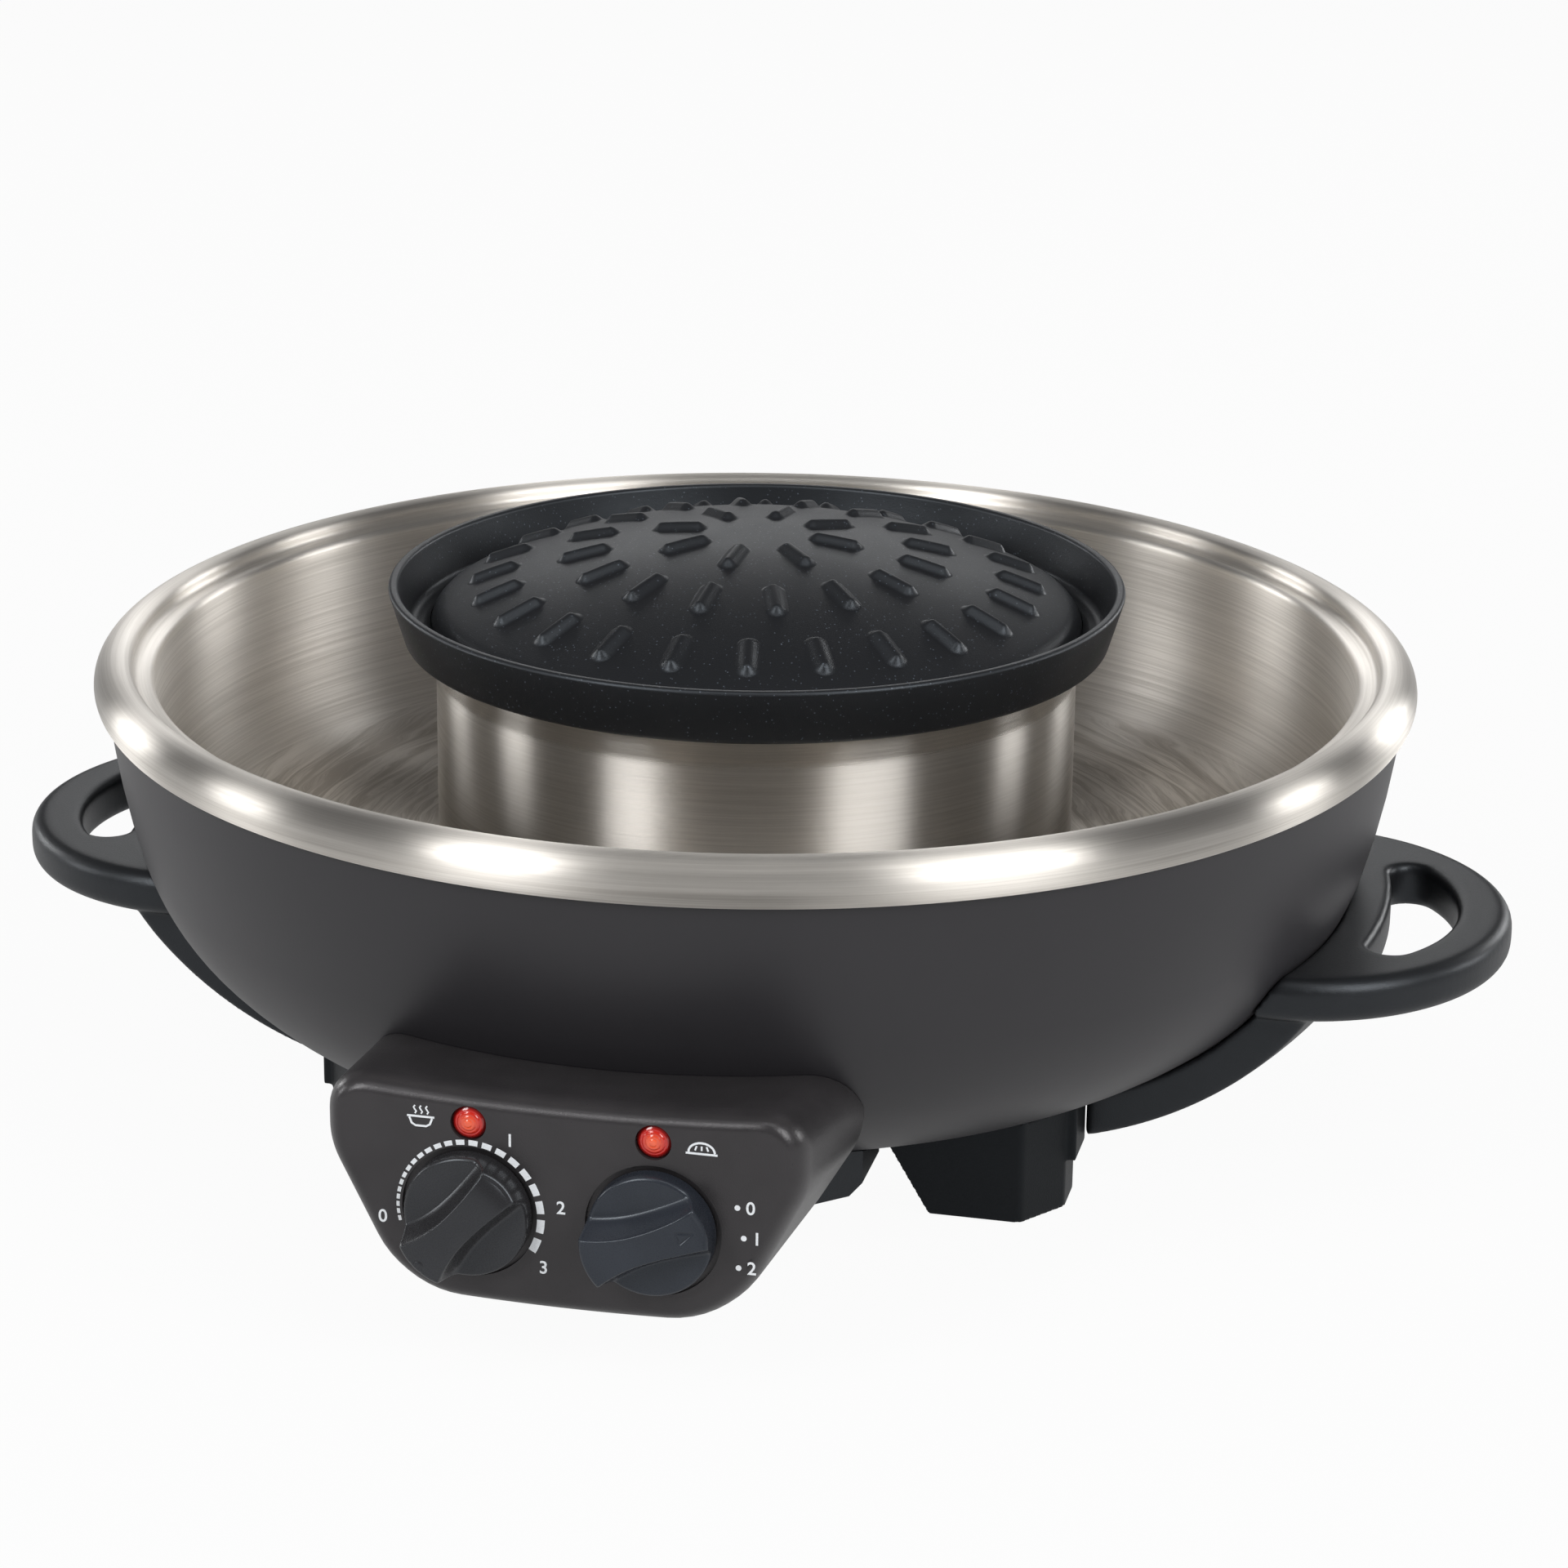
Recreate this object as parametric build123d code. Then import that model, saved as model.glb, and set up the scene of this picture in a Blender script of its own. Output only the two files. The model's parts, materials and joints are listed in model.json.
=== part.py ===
from build123d import *
import os
from math import asin, cos, degrees, radians, sin, sqrt

# Table-top hot pot with a domed grill in its centre, in millimetres.
# The origin is on the pot's axis at the table, -Y is the front, +X the right handle, +Z is up.

# Clearances
seat_gap = 0.3              # between pieces that rest on each other but come apart
part_gap = 0.25             # between pieces that are screwed together
running_gap = 0.05          # radial, shaft in its bearing
lift_gap = 0.9              # radial, where a piece drops in by hand
overrun = 2.0               # how far a cutting tool passes its target

# Main sizes, from which the others follow
well_radius = 173.0         # inside of the pan's wall
dome_crown = 168.4          # highest point of the grill plate above the table
rim_top = 136.0             # top of the pan's rolled rim
pan_floor = 69.0            # cooking floor of the pan
shell_bottom = 24.5         # underside of the outer shell

# Radii and seats shared by several pieces
rim_width = 17.0
shell_inset = 3.8           # how far the outer shell stands inside the rim
chimney_share = 0.5347      # of the well's radius
crown_over_seat = 30.9
rim_radius = well_radius + rim_width
shell_radius = rim_radius - shell_inset
chimney_radius = chimney_share * well_radius
trough_width = well_radius - chimney_radius
tower_inset = 24.5          # of the centre tower, inside the chimney
tower_radius = chimney_radius - tower_inset
plate_seat = dome_crown - crown_over_seat

# Pan: drawn steel ring with a rolled rim and a ledge for the lid, and its welded chimney
pan_wall = 0.9
roll_radius = 7.2
roll_start_angle = -50.0
roll_wrap = 160.0
lip_bend = 2.0
groove_bend = 1.5
ledge_height = 131.4
ledge_bend = 2.0
pan_bend = 26.0
chimney_fillet = 6.0
chimney_flange = 6.0        # flat of its foot, out to the weld
chimney_lip_bend = 1.5
chimney_lip = 3.5           # flat of the lip that carries the grill plate

# Grill plate: cast dome with a gutter, an upstand rim and three rings of ribs
plate_overhang = 13.4       # how far its rim stands outside the chimney
crown_over_rim = 14.4
plate_skirt_lean = 4.6
plate_rim_wall = 2.8
plate_foot_round = 2.5
plate_lip_round = 1.1
plate_floor = 3.2           # thickness of the gutter's floor
dome_radius = 211.0
gutter_width = 9.1
dome_wall = 3.2
shoulder_round = 8.0
gutter_round = 2.5
locating_ring_wall = 2.6
locating_ring_depth = 6.0
rib_length = 17.0
rib_width = 6.2
rib_height = 2.2
rib_root = 1.4              # how far a rib starts below the dome's skin
rib_taper_angle = 22.0      # draft on a rib's sides
rib_top_round = 0.7
first_ring_rib_count = 8
rib_ring_count = 3
first_rib_share = 0.2479    # of the dome's base radius
rib_step_share = 0.2787
rib_phase_angle = -3.5      # by which the pattern is turned from the front
plate_rim_radius = chimney_radius + plate_overhang
plate_rim_top = dome_crown - crown_over_rim
plate_foot_radius = plate_rim_radius - plate_skirt_lean
dome_base_radius = plate_rim_radius - plate_rim_wall - gutter_width
plate_seam_radius = plate_rim_radius - plate_rim_wall - gutter_round
first_rib_radius = first_rib_share * dome_base_radius
rib_ring_step = rib_step_share * dome_base_radius

# Outer shell: drawn steel bowl
shell_wall = 1.0
bead_radius = 1.4
collar_bend = 20.0
shell_slope = 4.9           # degrees of draft under the rim
side_bend = 227.0
side_turn = 11.2
knee_bend = 68.0
knee_turn = 26.3
base_bend = 91.0
wire_hole_radius = 6.0
wire_hole_inset = 45.0      # of its centre, from the well's radius
wire_hole_distance = well_radius - wire_hole_inset

# Base cover under the shell's opening
opening_inset = 8.0         # of the shell's opening, from the cover's radius
cover_sheet = 1.0
cover_dish_inset = 18.0
cover_dish_depth = 5.0
cover_bend = 3.0
cover_slope = 45.0          # of the dish's side
cover_slot_length_share = 0.32
cover_slot_width = 3.6
cover_slot_count = 8
cover_slot_share = 0.44
cover_screw_count = 4
cover_screw_inset = 4.0
cover_radius = tower_radius
base_opening_radius = cover_radius - opening_inset
cover_dish_radius = cover_radius - cover_dish_inset
cover_slot_length = cover_slot_length_share * cover_radius
cover_slot_radius = cover_slot_share * cover_radius
cover_screw_circle = cover_radius - cover_screw_inset

# Screws
screw_radius = 1.75
screw_head_radius = 3.4
screw_head_height = 1.8
screw_length = 8.0
socket_radius = 1.0
socket_depth = 0.9

# Legs: wedge mouldings, one under each quarter
leg_spread_share = 0.6185   # outer side of the legs, of the well's radius
leg_front_share = 0.5058
leg_width = 36.0
leg_back_width = 27.0
leg_depth = 30.0
leg_corner_width = 10.0
leg_corner_depth = 14.1
leg_gusset = 13.0           # how far the wedge reaches inwards at its top
leg_gusset_height = 22.0
leg_round = 2.5
leg_tab_height = 15.0       # underside of the tab that meets the handle's arm
leg_tab_length = 14.0
leg_recess = 1.4
pad_height = 2.2
pad_proud = 1.0
pad_inset = 4.5
leg_screw_inset = 16.0      # from the leg's outer side
leg_screw_depth = 19.5      # from its front
leg_outer_x = leg_spread_share * well_radius
leg_inner_x = leg_outer_x - leg_width
leg_back_inner_x = leg_outer_x - leg_back_width
leg_corner_x = leg_outer_x - leg_corner_width
leg_front_y = leg_front_share * well_radius
leg_side_y = leg_front_y - leg_corner_depth
leg_back_y = leg_front_y - leg_depth
leg_screw_x = leg_outer_x - leg_screw_inset
leg_screw_y = leg_front_y - leg_screw_depth

# Handles: D loops with two arms that cradle the shell
handle_height = 64.8        # middle of the loop above the table
handle_thickness = 13.0
loop_inset = 26.2           # of the loop's centre, from the shell's radius
loop_reach = 61.0
loop_side = 6.0             # how far the loop is wider than the arms
grip_width = 15.5
side_grip_width = 14.0
hand_pad_inset = 0.2        # of the hand hole's inner side, from the shell's radius
hole_round = 6.0
handle_round = 4.6
arm_thickness = 11.8
arm_width = 22.0
arm_over_leg = 2.5          # how far the arms reach over the legs' inner ends
arm_leg_step = 3.0
arm_tie_width = 13.0
hand_insert_depth = 9.0
loop_centre_x = shell_radius - loop_inset
hand_pad_radius = shell_radius - hand_pad_inset
arm_outer_y = leg_back_y + arm_over_leg
arm_inner_y = arm_outer_y - arm_width
arm_end_x = leg_outer_x + arm_leg_step
loop_half_width = arm_outer_y + loop_side
hole_half_width = loop_half_width - side_grip_width
handle_screw_y = arm_outer_y / 2

# Control box: moulded housing at the front, a little larger towards the rear
face_reach = 20.0           # of the face plane, in front of the rim
face_y = rim_radius + face_reach
box_half_width = 62.6
box_top = 80.6              # top corners at the face
box_top_dip = 3.0           # how far the top edge sags in its middle
box_top_fall = 8.4          # how much lower the top is at the rear
box_flare = 3.6             # how much wider each side is at the rear
box_side_height = 58.9      # where the sides begin to draw in
box_side_fall = 6.0         # how much lower that is at the rear
box_knee_x = 43.2
box_knee_height = 19.6
box_bottom = 18.2
box_top_round = 9.5
box_side_round = 24.0
box_knee_round = 26.0
face_round = 5.0
box_wall = 2.6
box_depth = 56.0            # face to the rear opening
control_x = 24.1            # each knob and lamp from the middle
knob_height = 45.1
lamp_height = 69.2
knob_recess_radius = 17.8
knob_recess_depth = 1.2

# Rear cover of the control box, with the neck that runs under the shell
neck_half_width = 59.0
neck_waist = 40.0
neck_front_inset = 52.0     # of its front end, from the face
neck_waist_share = 0.7977   # these are shares of the well's radius
neck_shoulder_share = 0.6936
neck_rear_share = 0.5665
neck_screw_share = 0.6243
neck_bottom = 20.0
neck_wall = 2.4
neck_chamfer = 3.0
neck_boss_radius = 4.5
neck_screw_x = 38.0
neck_front_y = face_y - neck_front_inset
neck_waist_y = neck_waist_share * well_radius
neck_shoulder_y = neck_shoulder_share * well_radius
neck_rear_y = neck_rear_share * well_radius
neck_screw_y = neck_screw_share * well_radius
closing_plate = 3.0         # thickness of the plate in the box's rear opening
neck_top = 62.0

# Knobs and their controls
knob_radius = 16.4
knob_depth = 13.2
knob_round = 1.6
knob_draft_angle = 2.0
knob_face_gap = 0.6
grip_half_width = 4.7
scoop_radius = 14.0
scoop_lift = 4.5            # scoop centre beyond the knob's front
pointer_reach = 1.3         # the grip's end beyond the knob's edge
pointer_half_width = 4.2
knob_pocket_radius = 10.5
knob_pocket_depth = 3.4
shaft_radius = 3.0
shaft_flat = 0.8
shaft_in_knob = 8.5
bushing_radius = 4.6
bushing_length = 3.6
nut_radius = 7.0
nut_height = 2.0
control_depth = 17.0
control_half_width = 14.0
control_chamfer = 1.8
switch_half_width = 12.0
switch_depth = 14.0
bearing_depth = 8.0
terminal_width = 4.0
terminal_thickness = 0.8
terminal_length = 8.0
hotpot_pointer_angle = 227.5    # where each grip points at rest, seen from the front
grill_pointer_angle = 21.0
box_screw_x = 40.0          # screws that hold the housing to the shell
box_boss_width = 9.0
box_boss_low = 59.6
box_boss_inset = 23.0       # of the boss's front, from the face
box_boss_front = face_y - box_boss_inset

# Signal lamps
lamp_radius = 4.5
lamp_hole_gap = 0.2
lamp_recess = 1.2           # edge of the lens behind the face
lamp_dome = 1.5
lamp_flange = 1.4
lamp_flange_radius = 5.2
lamp_body_radius = 3.2
lamp_body_length = 10.0
lamp_body_chamfer = 1.0
lamp_lead_radius = 0.5
lamp_lead_length = 4.0

# Pan heater: tubular element in two rings over a reflector, on formed brackets
element_radius = 4.0
element_ring_shares = (0.2422, 0.5156)  # of the trough's width, outside the chimney
element_gap_angle = 16.0    # half of the gap in the rings, where the ends turn down
element_leg_bend = 9.0
element_leg_end = 44.5
element_height = pan_floor - pan_wall - seat_gap - element_radius
terminal_pin_radius = 1.4
terminal_pin_length = 4.5
sleeve_wall = 0.7
sleeve_length = 7.0
sleeve_flange = 1.2
sleeve_flange_width = 1.2
shield_sheet = 0.7
shield_foot_step = 16.5     # of its foot, outside the tower
shield_foot_width = 10.5
shield_flat = 47.0
shield_bend = 3.0
shield_rim_inset = 25.0023  # from the well's radius
shield_rim_slope = 50.0
shield_rim_length = 9.0
cradle_count = 4
cradle_strip = 1.0
cradle_width = 12.0
cradle_foot = 10.0
cradle_bend = 1.5
element_rings = tuple(chimney_radius + share * trough_width for share in element_ring_shares)
shield_foot_inner = tower_radius + shield_foot_step
shield_foot_radius = shield_foot_inner + shield_foot_width
shield_rim_radius = well_radius - shield_rim_inset

# Centre tower with the grill's heater on top
tower_sheet = 0.8
tower_under_seat = 3.5
tower_foot_width = 13.0
tower_bend = 2.5
tower_lip = 7.0
tower_slot_count = 12
tower_slot_width = 5.0
tower_slot_length_share = 0.31
tower_slot_middle_share = 0.58
wire_pass_radius = 5.0
wire_pass_height = 36.0
dish_floor_inset = 2.0
dish_slope = 35.0
dish_rim_length = 11.0
dish_sheet = 0.8
dish_bend = 3.0
dish_vent_radius = 15.0
grill_tube = 3.5
grill_ring_inset = 16.0
grill_gap_angle = 24.0
grill_leg_bend = 8.0
grill_over_seat = 10.5
grill_leg_drop = 26.0
clip_count = 3
clip_strip = 0.8
clip_width = 8.0
clip_foot = 7.0
inner_screw_count = 3
inner_screw_angle = 60.0
tower_top = plate_seat - tower_under_seat
tower_foot_radius = tower_radius + tower_foot_width
tower_slot_length = tower_slot_length_share * (tower_top - shell_bottom)
tower_slot_middle = shell_bottom + tower_slot_middle_share * (tower_top - shell_bottom)
dish_floor_radius = tower_radius - dish_floor_inset
grill_ring = tower_radius - grill_ring_inset
grill_element_height = plate_seat + grill_over_seat
grill_leg_end = grill_element_height - grill_leg_drop

# Wiring and cord inlet
loom_radius = 2.2
loom_bend = 4.0
loom_rise_bend = 8.0
loom_under_legs = 22.0
loom_top = grill_leg_end - loom_under_legs
wire_radius = 1.2
wire_turn = 60.0
wire_fan_shares = ((0, 1 / 3), (1 / 3, 1 / 4))  # across and back, of the pin's distance from the middle
wire_rise_share = 3 / 4
lead_radius = 0.9
grommet_flange_radius = 8.0
grommet_flange = 1.5
grommet_gap = 0.1
grommet_inner_gap = 0.45    # the wall curves towards the inner flange
fuse_radius = 2.5
fuse_length = 22.0
fuse_height = 41.0
fuse_share = 0.3665         # of the trough's width, outside the chimney
fuse_distance = chimney_radius + fuse_share * trough_width
fuse_angle = 42.0
fuse_saddle = 6.0
block_width = 30.0
block_depth = 14.0
block_height = 11.0
block_inset = 22.0
block_lift = 1.5            # over the housing's curved floor
block_front = face_y - block_inset
block_low = box_bottom + box_wall + part_gap + block_lift
block_middle = block_low + block_height / 2
block_hole_radius = 1.6
block_hole_count = 4
gland_radius = 6.5
gland_bore_radius = 3.7
gland_inner_x = 54.0
gland_outer_x = 67.0
gland_height = 50.0
gland_inset = 35.0
gland_y = face_y - gland_inset
gland_lip = 1.5
gland_lip_width = 1.2

roll_x = rim_radius - roll_radius
roll_z = rim_top - roll_radius


# Geometry helpers: paths of straight runs and bends in the XZ plane
def walk(start, heading, steps, shift=0.0):
    # A step is a length, or a (radius, turn) pair that bends left when the turn is positive.
    # The path is moved to its left by the shift.
    x = start[0] - shift * sin(radians(heading))
    z = start[1] + shift * cos(radians(heading))
    edges = []
    for step in steps:
        if not isinstance(step, tuple):
            end_x = x + step * cos(radians(heading))
            end_z = z + step * sin(radians(heading))
            edges.append(Line((x, 0, z), (end_x, 0, end_z)))
            x, z = end_x, end_z
            continue
        radius, turn = step
        side = 1 if turn > 0 else -1
        radius -= side * shift
        centre_x = x - side * radius * sin(radians(heading))
        centre_z = z + side * radius * cos(radians(heading))
        places = [(x, 0, z)]
        for part_turn in (turn / 2, turn):
            angle = radians(heading + part_turn)
            places.append((centre_x + side * radius * sin(angle), 0, centre_z - side * radius * cos(angle)))
        edges.append(ThreePointArc(*places))
        x, z = places[-1][0], places[-1][2]
        heading += turn
    return edges, (x, z), heading


def sheet(start, heading, steps, wall):
    # Sheet metal strip between a path and its parallel, one wall to the left, as a face.
    near, near_end, _ = walk(start, heading, steps)
    far, far_end, _ = walk(start, heading, steps, wall)
    first = near[0] @ 0
    caps = [Line(first, far[0] @ 0), Line((near_end[0], 0, near_end[1]), (far_end[0], 0, far_end[1]))]
    return make_face(near + far + caps)


def turned(face):
    return revolve(face, Axis.Z)


def drum(radius, low, high, x=0.0, y=0.0):
    return Pos(x, y, (low + high) / 2) * Cylinder(radius, high - low)


def block(low, high):
    # Box between two opposite corners.
    middle = [(a + b) / 2 for a, b in zip(low, high)]
    return Pos(*middle) * Box(*[b - a for a, b in zip(low, high)])


def around(angle, radius, height=0.0):
    # Point at an angle from the front, turning towards +X.
    return (radius * sin(radians(angle)), -radius * cos(radians(angle)), height)


def mirrored(shape, plane):
    return shape.mirror(plane)


def front_rod(radius, y_front, y_back, x, z):
    # Round bar along Y, from its front end to its back end.
    return Pos(x, (y_front + y_back) / 2, z) * Rot(90, 0, 0) * Cylinder(radius, abs(y_back - y_front))


# The shell's outside profile is used by the shell and by everything that hugs it
def shell_path():
    curl_inner = roll_radius - pan_wall
    bead_x = shell_radius - bead_radius
    reach = curl_inner - bead_radius - seat_gap
    bead_z = roll_z + sqrt(reach ** 2 - (bead_x - roll_x) ** 2)
    rest_turn = 90 - shell_slope - side_turn - knee_turn
    collar = bead_z - roll_z + roll_radius / 2
    bends = [(side_bend, -side_turn), (knee_bend, -knee_turn), (base_bend, -rest_turn)]
    start = (bead_x - bead_radius, bead_z)
    upper = [(bead_radius, -180), collar, (collar_bend, -shell_slope)]
    _, (_, low_z), _ = walk(start, 90, upper + bends)
    taper = (low_z - shell_bottom) / cos(radians(shell_slope))
    steps = upper + [taper] + bends
    _, (flat_x, _), _ = walk(start, 90, steps)
    return start, steps, flat_x


def shell_solid(clearance):
    # The space inside the shell's outside surface, grown by a clearance, as a solid.
    start, steps, _ = shell_path()
    edges, (end_x, end_z), _ = walk((shell_radius, start[1]), -90, steps[1:], clearance)
    first = edges[0] @ 0
    closing = [
        Line((end_x, 0, end_z), (0, 0, end_z)),
        Line((0, 0, end_z), (0, 0, first.Z)),
        Line((0, 0, first.Z), first),
    ]
    return turned(make_face(edges + closing))


def wire_hole():
    # Place of the wire hole on the shell's outside, with its axis square to the wall.
    _, _, flat_x = shell_path()
    slope = asin((wire_hole_distance - flat_x) / base_bend)
    height = shell_bottom + base_bend - base_bend * cos(slope)
    return Pos(0, -wire_hole_distance, height) * Rot(-degrees(slope), 0, 0)


def outer_shell():
    start, steps, flat_x = shell_path()
    base = flat_x - base_opening_radius
    bowl = turned(sheet(start, 90, steps + [base], -shell_wall))
    bowl -= wire_hole() * Cylinder(wire_hole_radius, 2 * grommet_flange_radius)
    for x, y in leg_screw_places():
        bowl -= drum(screw_radius + part_gap, shell_bottom - overrun, pan_floor, x, y)
    for turn, shift in wall_screw_places():
        bowl -= wall_bar(turn, shift, screw_radius + part_gap)
    for x, y in cover_screw_places() + neck_screw_places() + floor_screw_places():
        bowl -= drum(screw_radius + part_gap, shell_bottom - overrun, handle_height, x, y)
    return bowl


# Pan: the outer drawing, and the chimney welded into its floor
def hotpot_pan():
    lip_reach = roll_radius - lip_bend
    lip_angle = radians(roll_start_angle + roll_wrap)
    lip_x = roll_x + lip_reach * cos(lip_angle) - lip_bend
    lip_z = roll_z + lip_reach * sin(lip_angle)
    start = (roll_x + roll_radius * cos(radians(roll_start_angle)),
             roll_z + roll_radius * sin(radians(roll_start_angle)))
    steps = [
        (roll_radius, roll_wrap),
        (lip_bend, 180 - roll_start_angle - roll_wrap),
        lip_z - ledge_height - groove_bend,
        (groove_bend, -90),
        lip_x - groove_bend - well_radius - ledge_bend,
        (ledge_bend, 90),
        ledge_height - ledge_bend - pan_floor - pan_bend,
        (pan_bend, -90),
        well_radius - pan_bend - chimney_radius - chimney_fillet - chimney_flange,
    ]
    return turned(sheet(start, roll_start_angle + 90, steps, pan_wall))


def pan_chimney():
    chimney_top = plate_seat - seat_gap
    steps = [
        chimney_flange,
        (chimney_fillet, -90),
        chimney_top - pan_floor - chimney_fillet - chimney_lip_bend,
        (chimney_lip_bend, 90),
        chimney_lip,
    ]
    return turned(sheet((chimney_radius + chimney_fillet + chimney_flange, pan_floor), 180, steps, pan_wall))


# Grill plate
def dome_height(radius):
    return dome_crown - dome_radius + sqrt(dome_radius ** 2 - radius ** 2)


def plate_profile():
    # Half section of the casting: dome, gutter and rim above, seat and locating ring below.
    gutter_floor = plate_seat + plate_floor
    rim_inner = plate_rim_radius - plate_rim_wall
    shoulder_x = dome_base_radius - shoulder_round
    reach = dome_radius - shoulder_round
    shoulder_angle = asin(shoulder_x / reach)
    shoulder_z = dome_crown - dome_radius + reach * cos(shoulder_angle)
    crown = (0, dome_crown)
    on_dome = (dome_radius * sin(shoulder_angle), dome_height(dome_radius * sin(shoulder_angle)))
    mid_dome = (on_dome[0] / 2, dome_height(on_dome[0] / 2))
    bend_angle = shoulder_angle / 2 + radians(45)
    bend_x = shoulder_x + shoulder_round * sin(bend_angle)
    mid_shoulder = (bend_x, shoulder_z + shoulder_round * cos(bend_angle))
    ring_outer = chimney_radius - chimney_lip_bend - chimney_lip - lift_gap
    ring_inner = ring_outer - locating_ring_wall
    under_radius = dome_radius - dome_wall
    under_edge = (ring_inner, dome_crown - dome_radius + sqrt(under_radius ** 2 - ring_inner ** 2))
    under_mid_x = ring_inner / 2
    under_mid = (under_mid_x, dome_crown - dome_radius + sqrt(under_radius ** 2 - under_mid_x ** 2))
    rim = [
        (dome_base_radius, shoulder_z),
        (dome_base_radius, gutter_floor),
        (rim_inner - gutter_round, gutter_floor),
        (rim_inner, plate_rim_top),
        (plate_rim_radius, plate_rim_top),
        (plate_foot_radius, plate_seat),
        (ring_outer, plate_seat),
        (ring_outer, plate_seat - locating_ring_depth),
        (ring_inner, plate_seat - locating_ring_depth),
        under_edge,
    ]
    edges = [ThreePointArc(*[(x, 0, z) for x, z in (crown, mid_dome, on_dome)])]
    edges.append(ThreePointArc(*[(x, 0, z) for x, z in (on_dome, mid_shoulder, rim[0])]))
    for (x1, z1), (x2, z2) in zip(rim, rim[1:]):
        edges.append(Line((x1, 0, z1), (x2, 0, z2)))
    under_crown = (0, dome_crown - dome_wall)
    edges.append(ThreePointArc(*[(x, 0, z) for x, z in (under_edge, under_mid, under_crown)]))
    edges.append(Line((0, 0, under_crown[1]), (0, 0, dome_crown)))
    return make_face(edges)


def rib():
    # One raised rib, lying along +X with its root at the origin.
    slot = SlotOverall(rib_length, rib_width)
    bar = extrude(slot, rib_height + rib_root, taper=rib_taper_angle)
    return fillet(bar.faces().sort_by(Axis.Z)[-1].edges(), rib_top_round)


def rounded_ring(solid, radius, height, size):
    # Rounds the circular edge that lies at a radius and a height.
    chosen = [
        e for e in solid.edges().filter_by(GeomType.CIRCLE)
        if abs(e.radius - radius) < part_gap and abs(e.center().Z - height) < part_gap
    ]
    return fillet(chosen, size)


def plate_casting():
    casting = turned(plate_profile())
    rim_inner = plate_rim_radius - plate_rim_wall
    gutter_floor = plate_seat + plate_floor
    casting = rounded_ring(casting, rim_inner, plate_rim_top, plate_lip_round)
    casting = rounded_ring(casting, plate_rim_radius, plate_rim_top, plate_lip_round)
    casting = rounded_ring(casting, plate_foot_radius, plate_seat, plate_foot_round)
    casting = rounded_ring(casting, rim_inner - gutter_round, gutter_floor, gutter_round)
    return rounded_ring(casting, dome_base_radius, gutter_floor, gutter_round)


def plate_rim():
    # Upstand rim of the plate, from the foot of the gutter's outer side.
    return plate_casting() - drum(plate_seam_radius, 0, 2 * dome_crown)


def grill_plate():
    casting = plate_casting() & drum(plate_seam_radius, 0, 2 * dome_crown)
    one = rib()
    ribs = []
    for ring in range(rib_ring_count):
        radius = first_rib_radius + ring * rib_ring_step
        tilt = degrees(asin(radius / dome_radius))
        count = first_ring_rib_count * (ring + 1)
        for index in range(count):
            angle = rib_phase_angle + index * 360 / count - 90
            seat = Pos(0, 0, dome_crown - dome_radius) * Rot(0, 0, angle) * Rot(0, tilt, 0)
            ribs.append(seat * Pos(0, 0, dome_radius - rib_root) * one)
    return casting + ribs


# Screws: pan heads with a round socket, shank down
def screw(length=screw_length):
    head = Pos(0, 0, screw_head_height / 2) * Cylinder(screw_head_radius, screw_head_height)
    head = fillet(head.edges().sort_by(Axis.Z)[-1], screw_head_height / 2)
    head -= Pos(0, 0, screw_head_height - socket_depth / 2) * Cylinder(socket_radius, socket_depth)
    return head + Pos(0, 0, -length / 2) * Cylinder(screw_radius, length)


def cover_screw_places():
    return [around(45 + 90 * i, cover_screw_circle)[:2] for i in range(cover_screw_count)]


def neck_screw_places():
    return [(x, -neck_screw_y) for x in (-neck_screw_x, neck_screw_x)]


def ring_places(radius):
    turns = [inner_screw_angle + 360 * i / inner_screw_count for i in range(inner_screw_count)]
    return [around(turn, radius)[:2] for turn in turns]


def tower_foot_places():
    return ring_places((tower_foot_radius + tower_radius + tower_bend) / 2)


def shield_foot_places():
    return ring_places((shield_foot_radius + shield_foot_inner + shield_bend) / 2)


def dish_places():
    return ring_places((dish_floor_radius - dish_bend + tower_radius - tower_bend - tower_lip) / 2)


def floor_screw_places():
    return tower_foot_places() + shield_foot_places()


def leg_screw_places():
    return [(x, y) for x in (-leg_screw_x, leg_screw_x) for y in (-leg_screw_y, leg_screw_y)]


def wall_screw_places():
    # Direction of each screw through the shell's wall, and its shift to the side.
    handles = [(turn, y) for turn in (0, 180) for y in (-handle_screw_y, handle_screw_y)]
    return handles + [(-90, x) for x in (-box_screw_x, box_screw_x)]


def wall_bar(turn, shift, radius):
    inner = loop_centre_x - handle_thickness
    outer = hand_pad_radius - hand_insert_depth / 2
    bar = Pos((inner + outer) / 2, shift, handle_height) * Rot(0, 90, 0) * Cylinder(radius, outer - inner)
    return Rot(0, 0, turn) * bar


def shell_floor_height(radius):
    # Height of the shell's inside surface at a radius on its lowest bend.
    _, _, flat_x = shell_path()
    inner_bend = base_bend - shell_wall
    centre_z = shell_bottom + base_bend
    return centre_z - sqrt(inner_bend ** 2 - max(radius - flat_x, 0) ** 2)


def shell_radius_at(height):
    # Outside radius of the shell at a height on its knee bend.
    _, _, flat_x = shell_path()
    turn = radians(90 - shell_slope - side_turn - knee_turn)
    spare = base_bend - knee_bend
    centre_x = flat_x + spare * sin(turn)
    centre_z = shell_bottom + base_bend - spare * cos(turn)
    return centre_x + sqrt(knee_bend ** 2 - (centre_z - height) ** 2)


def leg_screws():
    distance = sqrt(leg_screw_x ** 2 + leg_screw_y ** 2)
    lift = shell_floor_height(distance + screw_head_radius) + part_gap
    one = screw(screw_length + screw_head_height)
    return Compound([Pos(x, y, lift) * one for x, y in leg_screw_places()])


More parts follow.
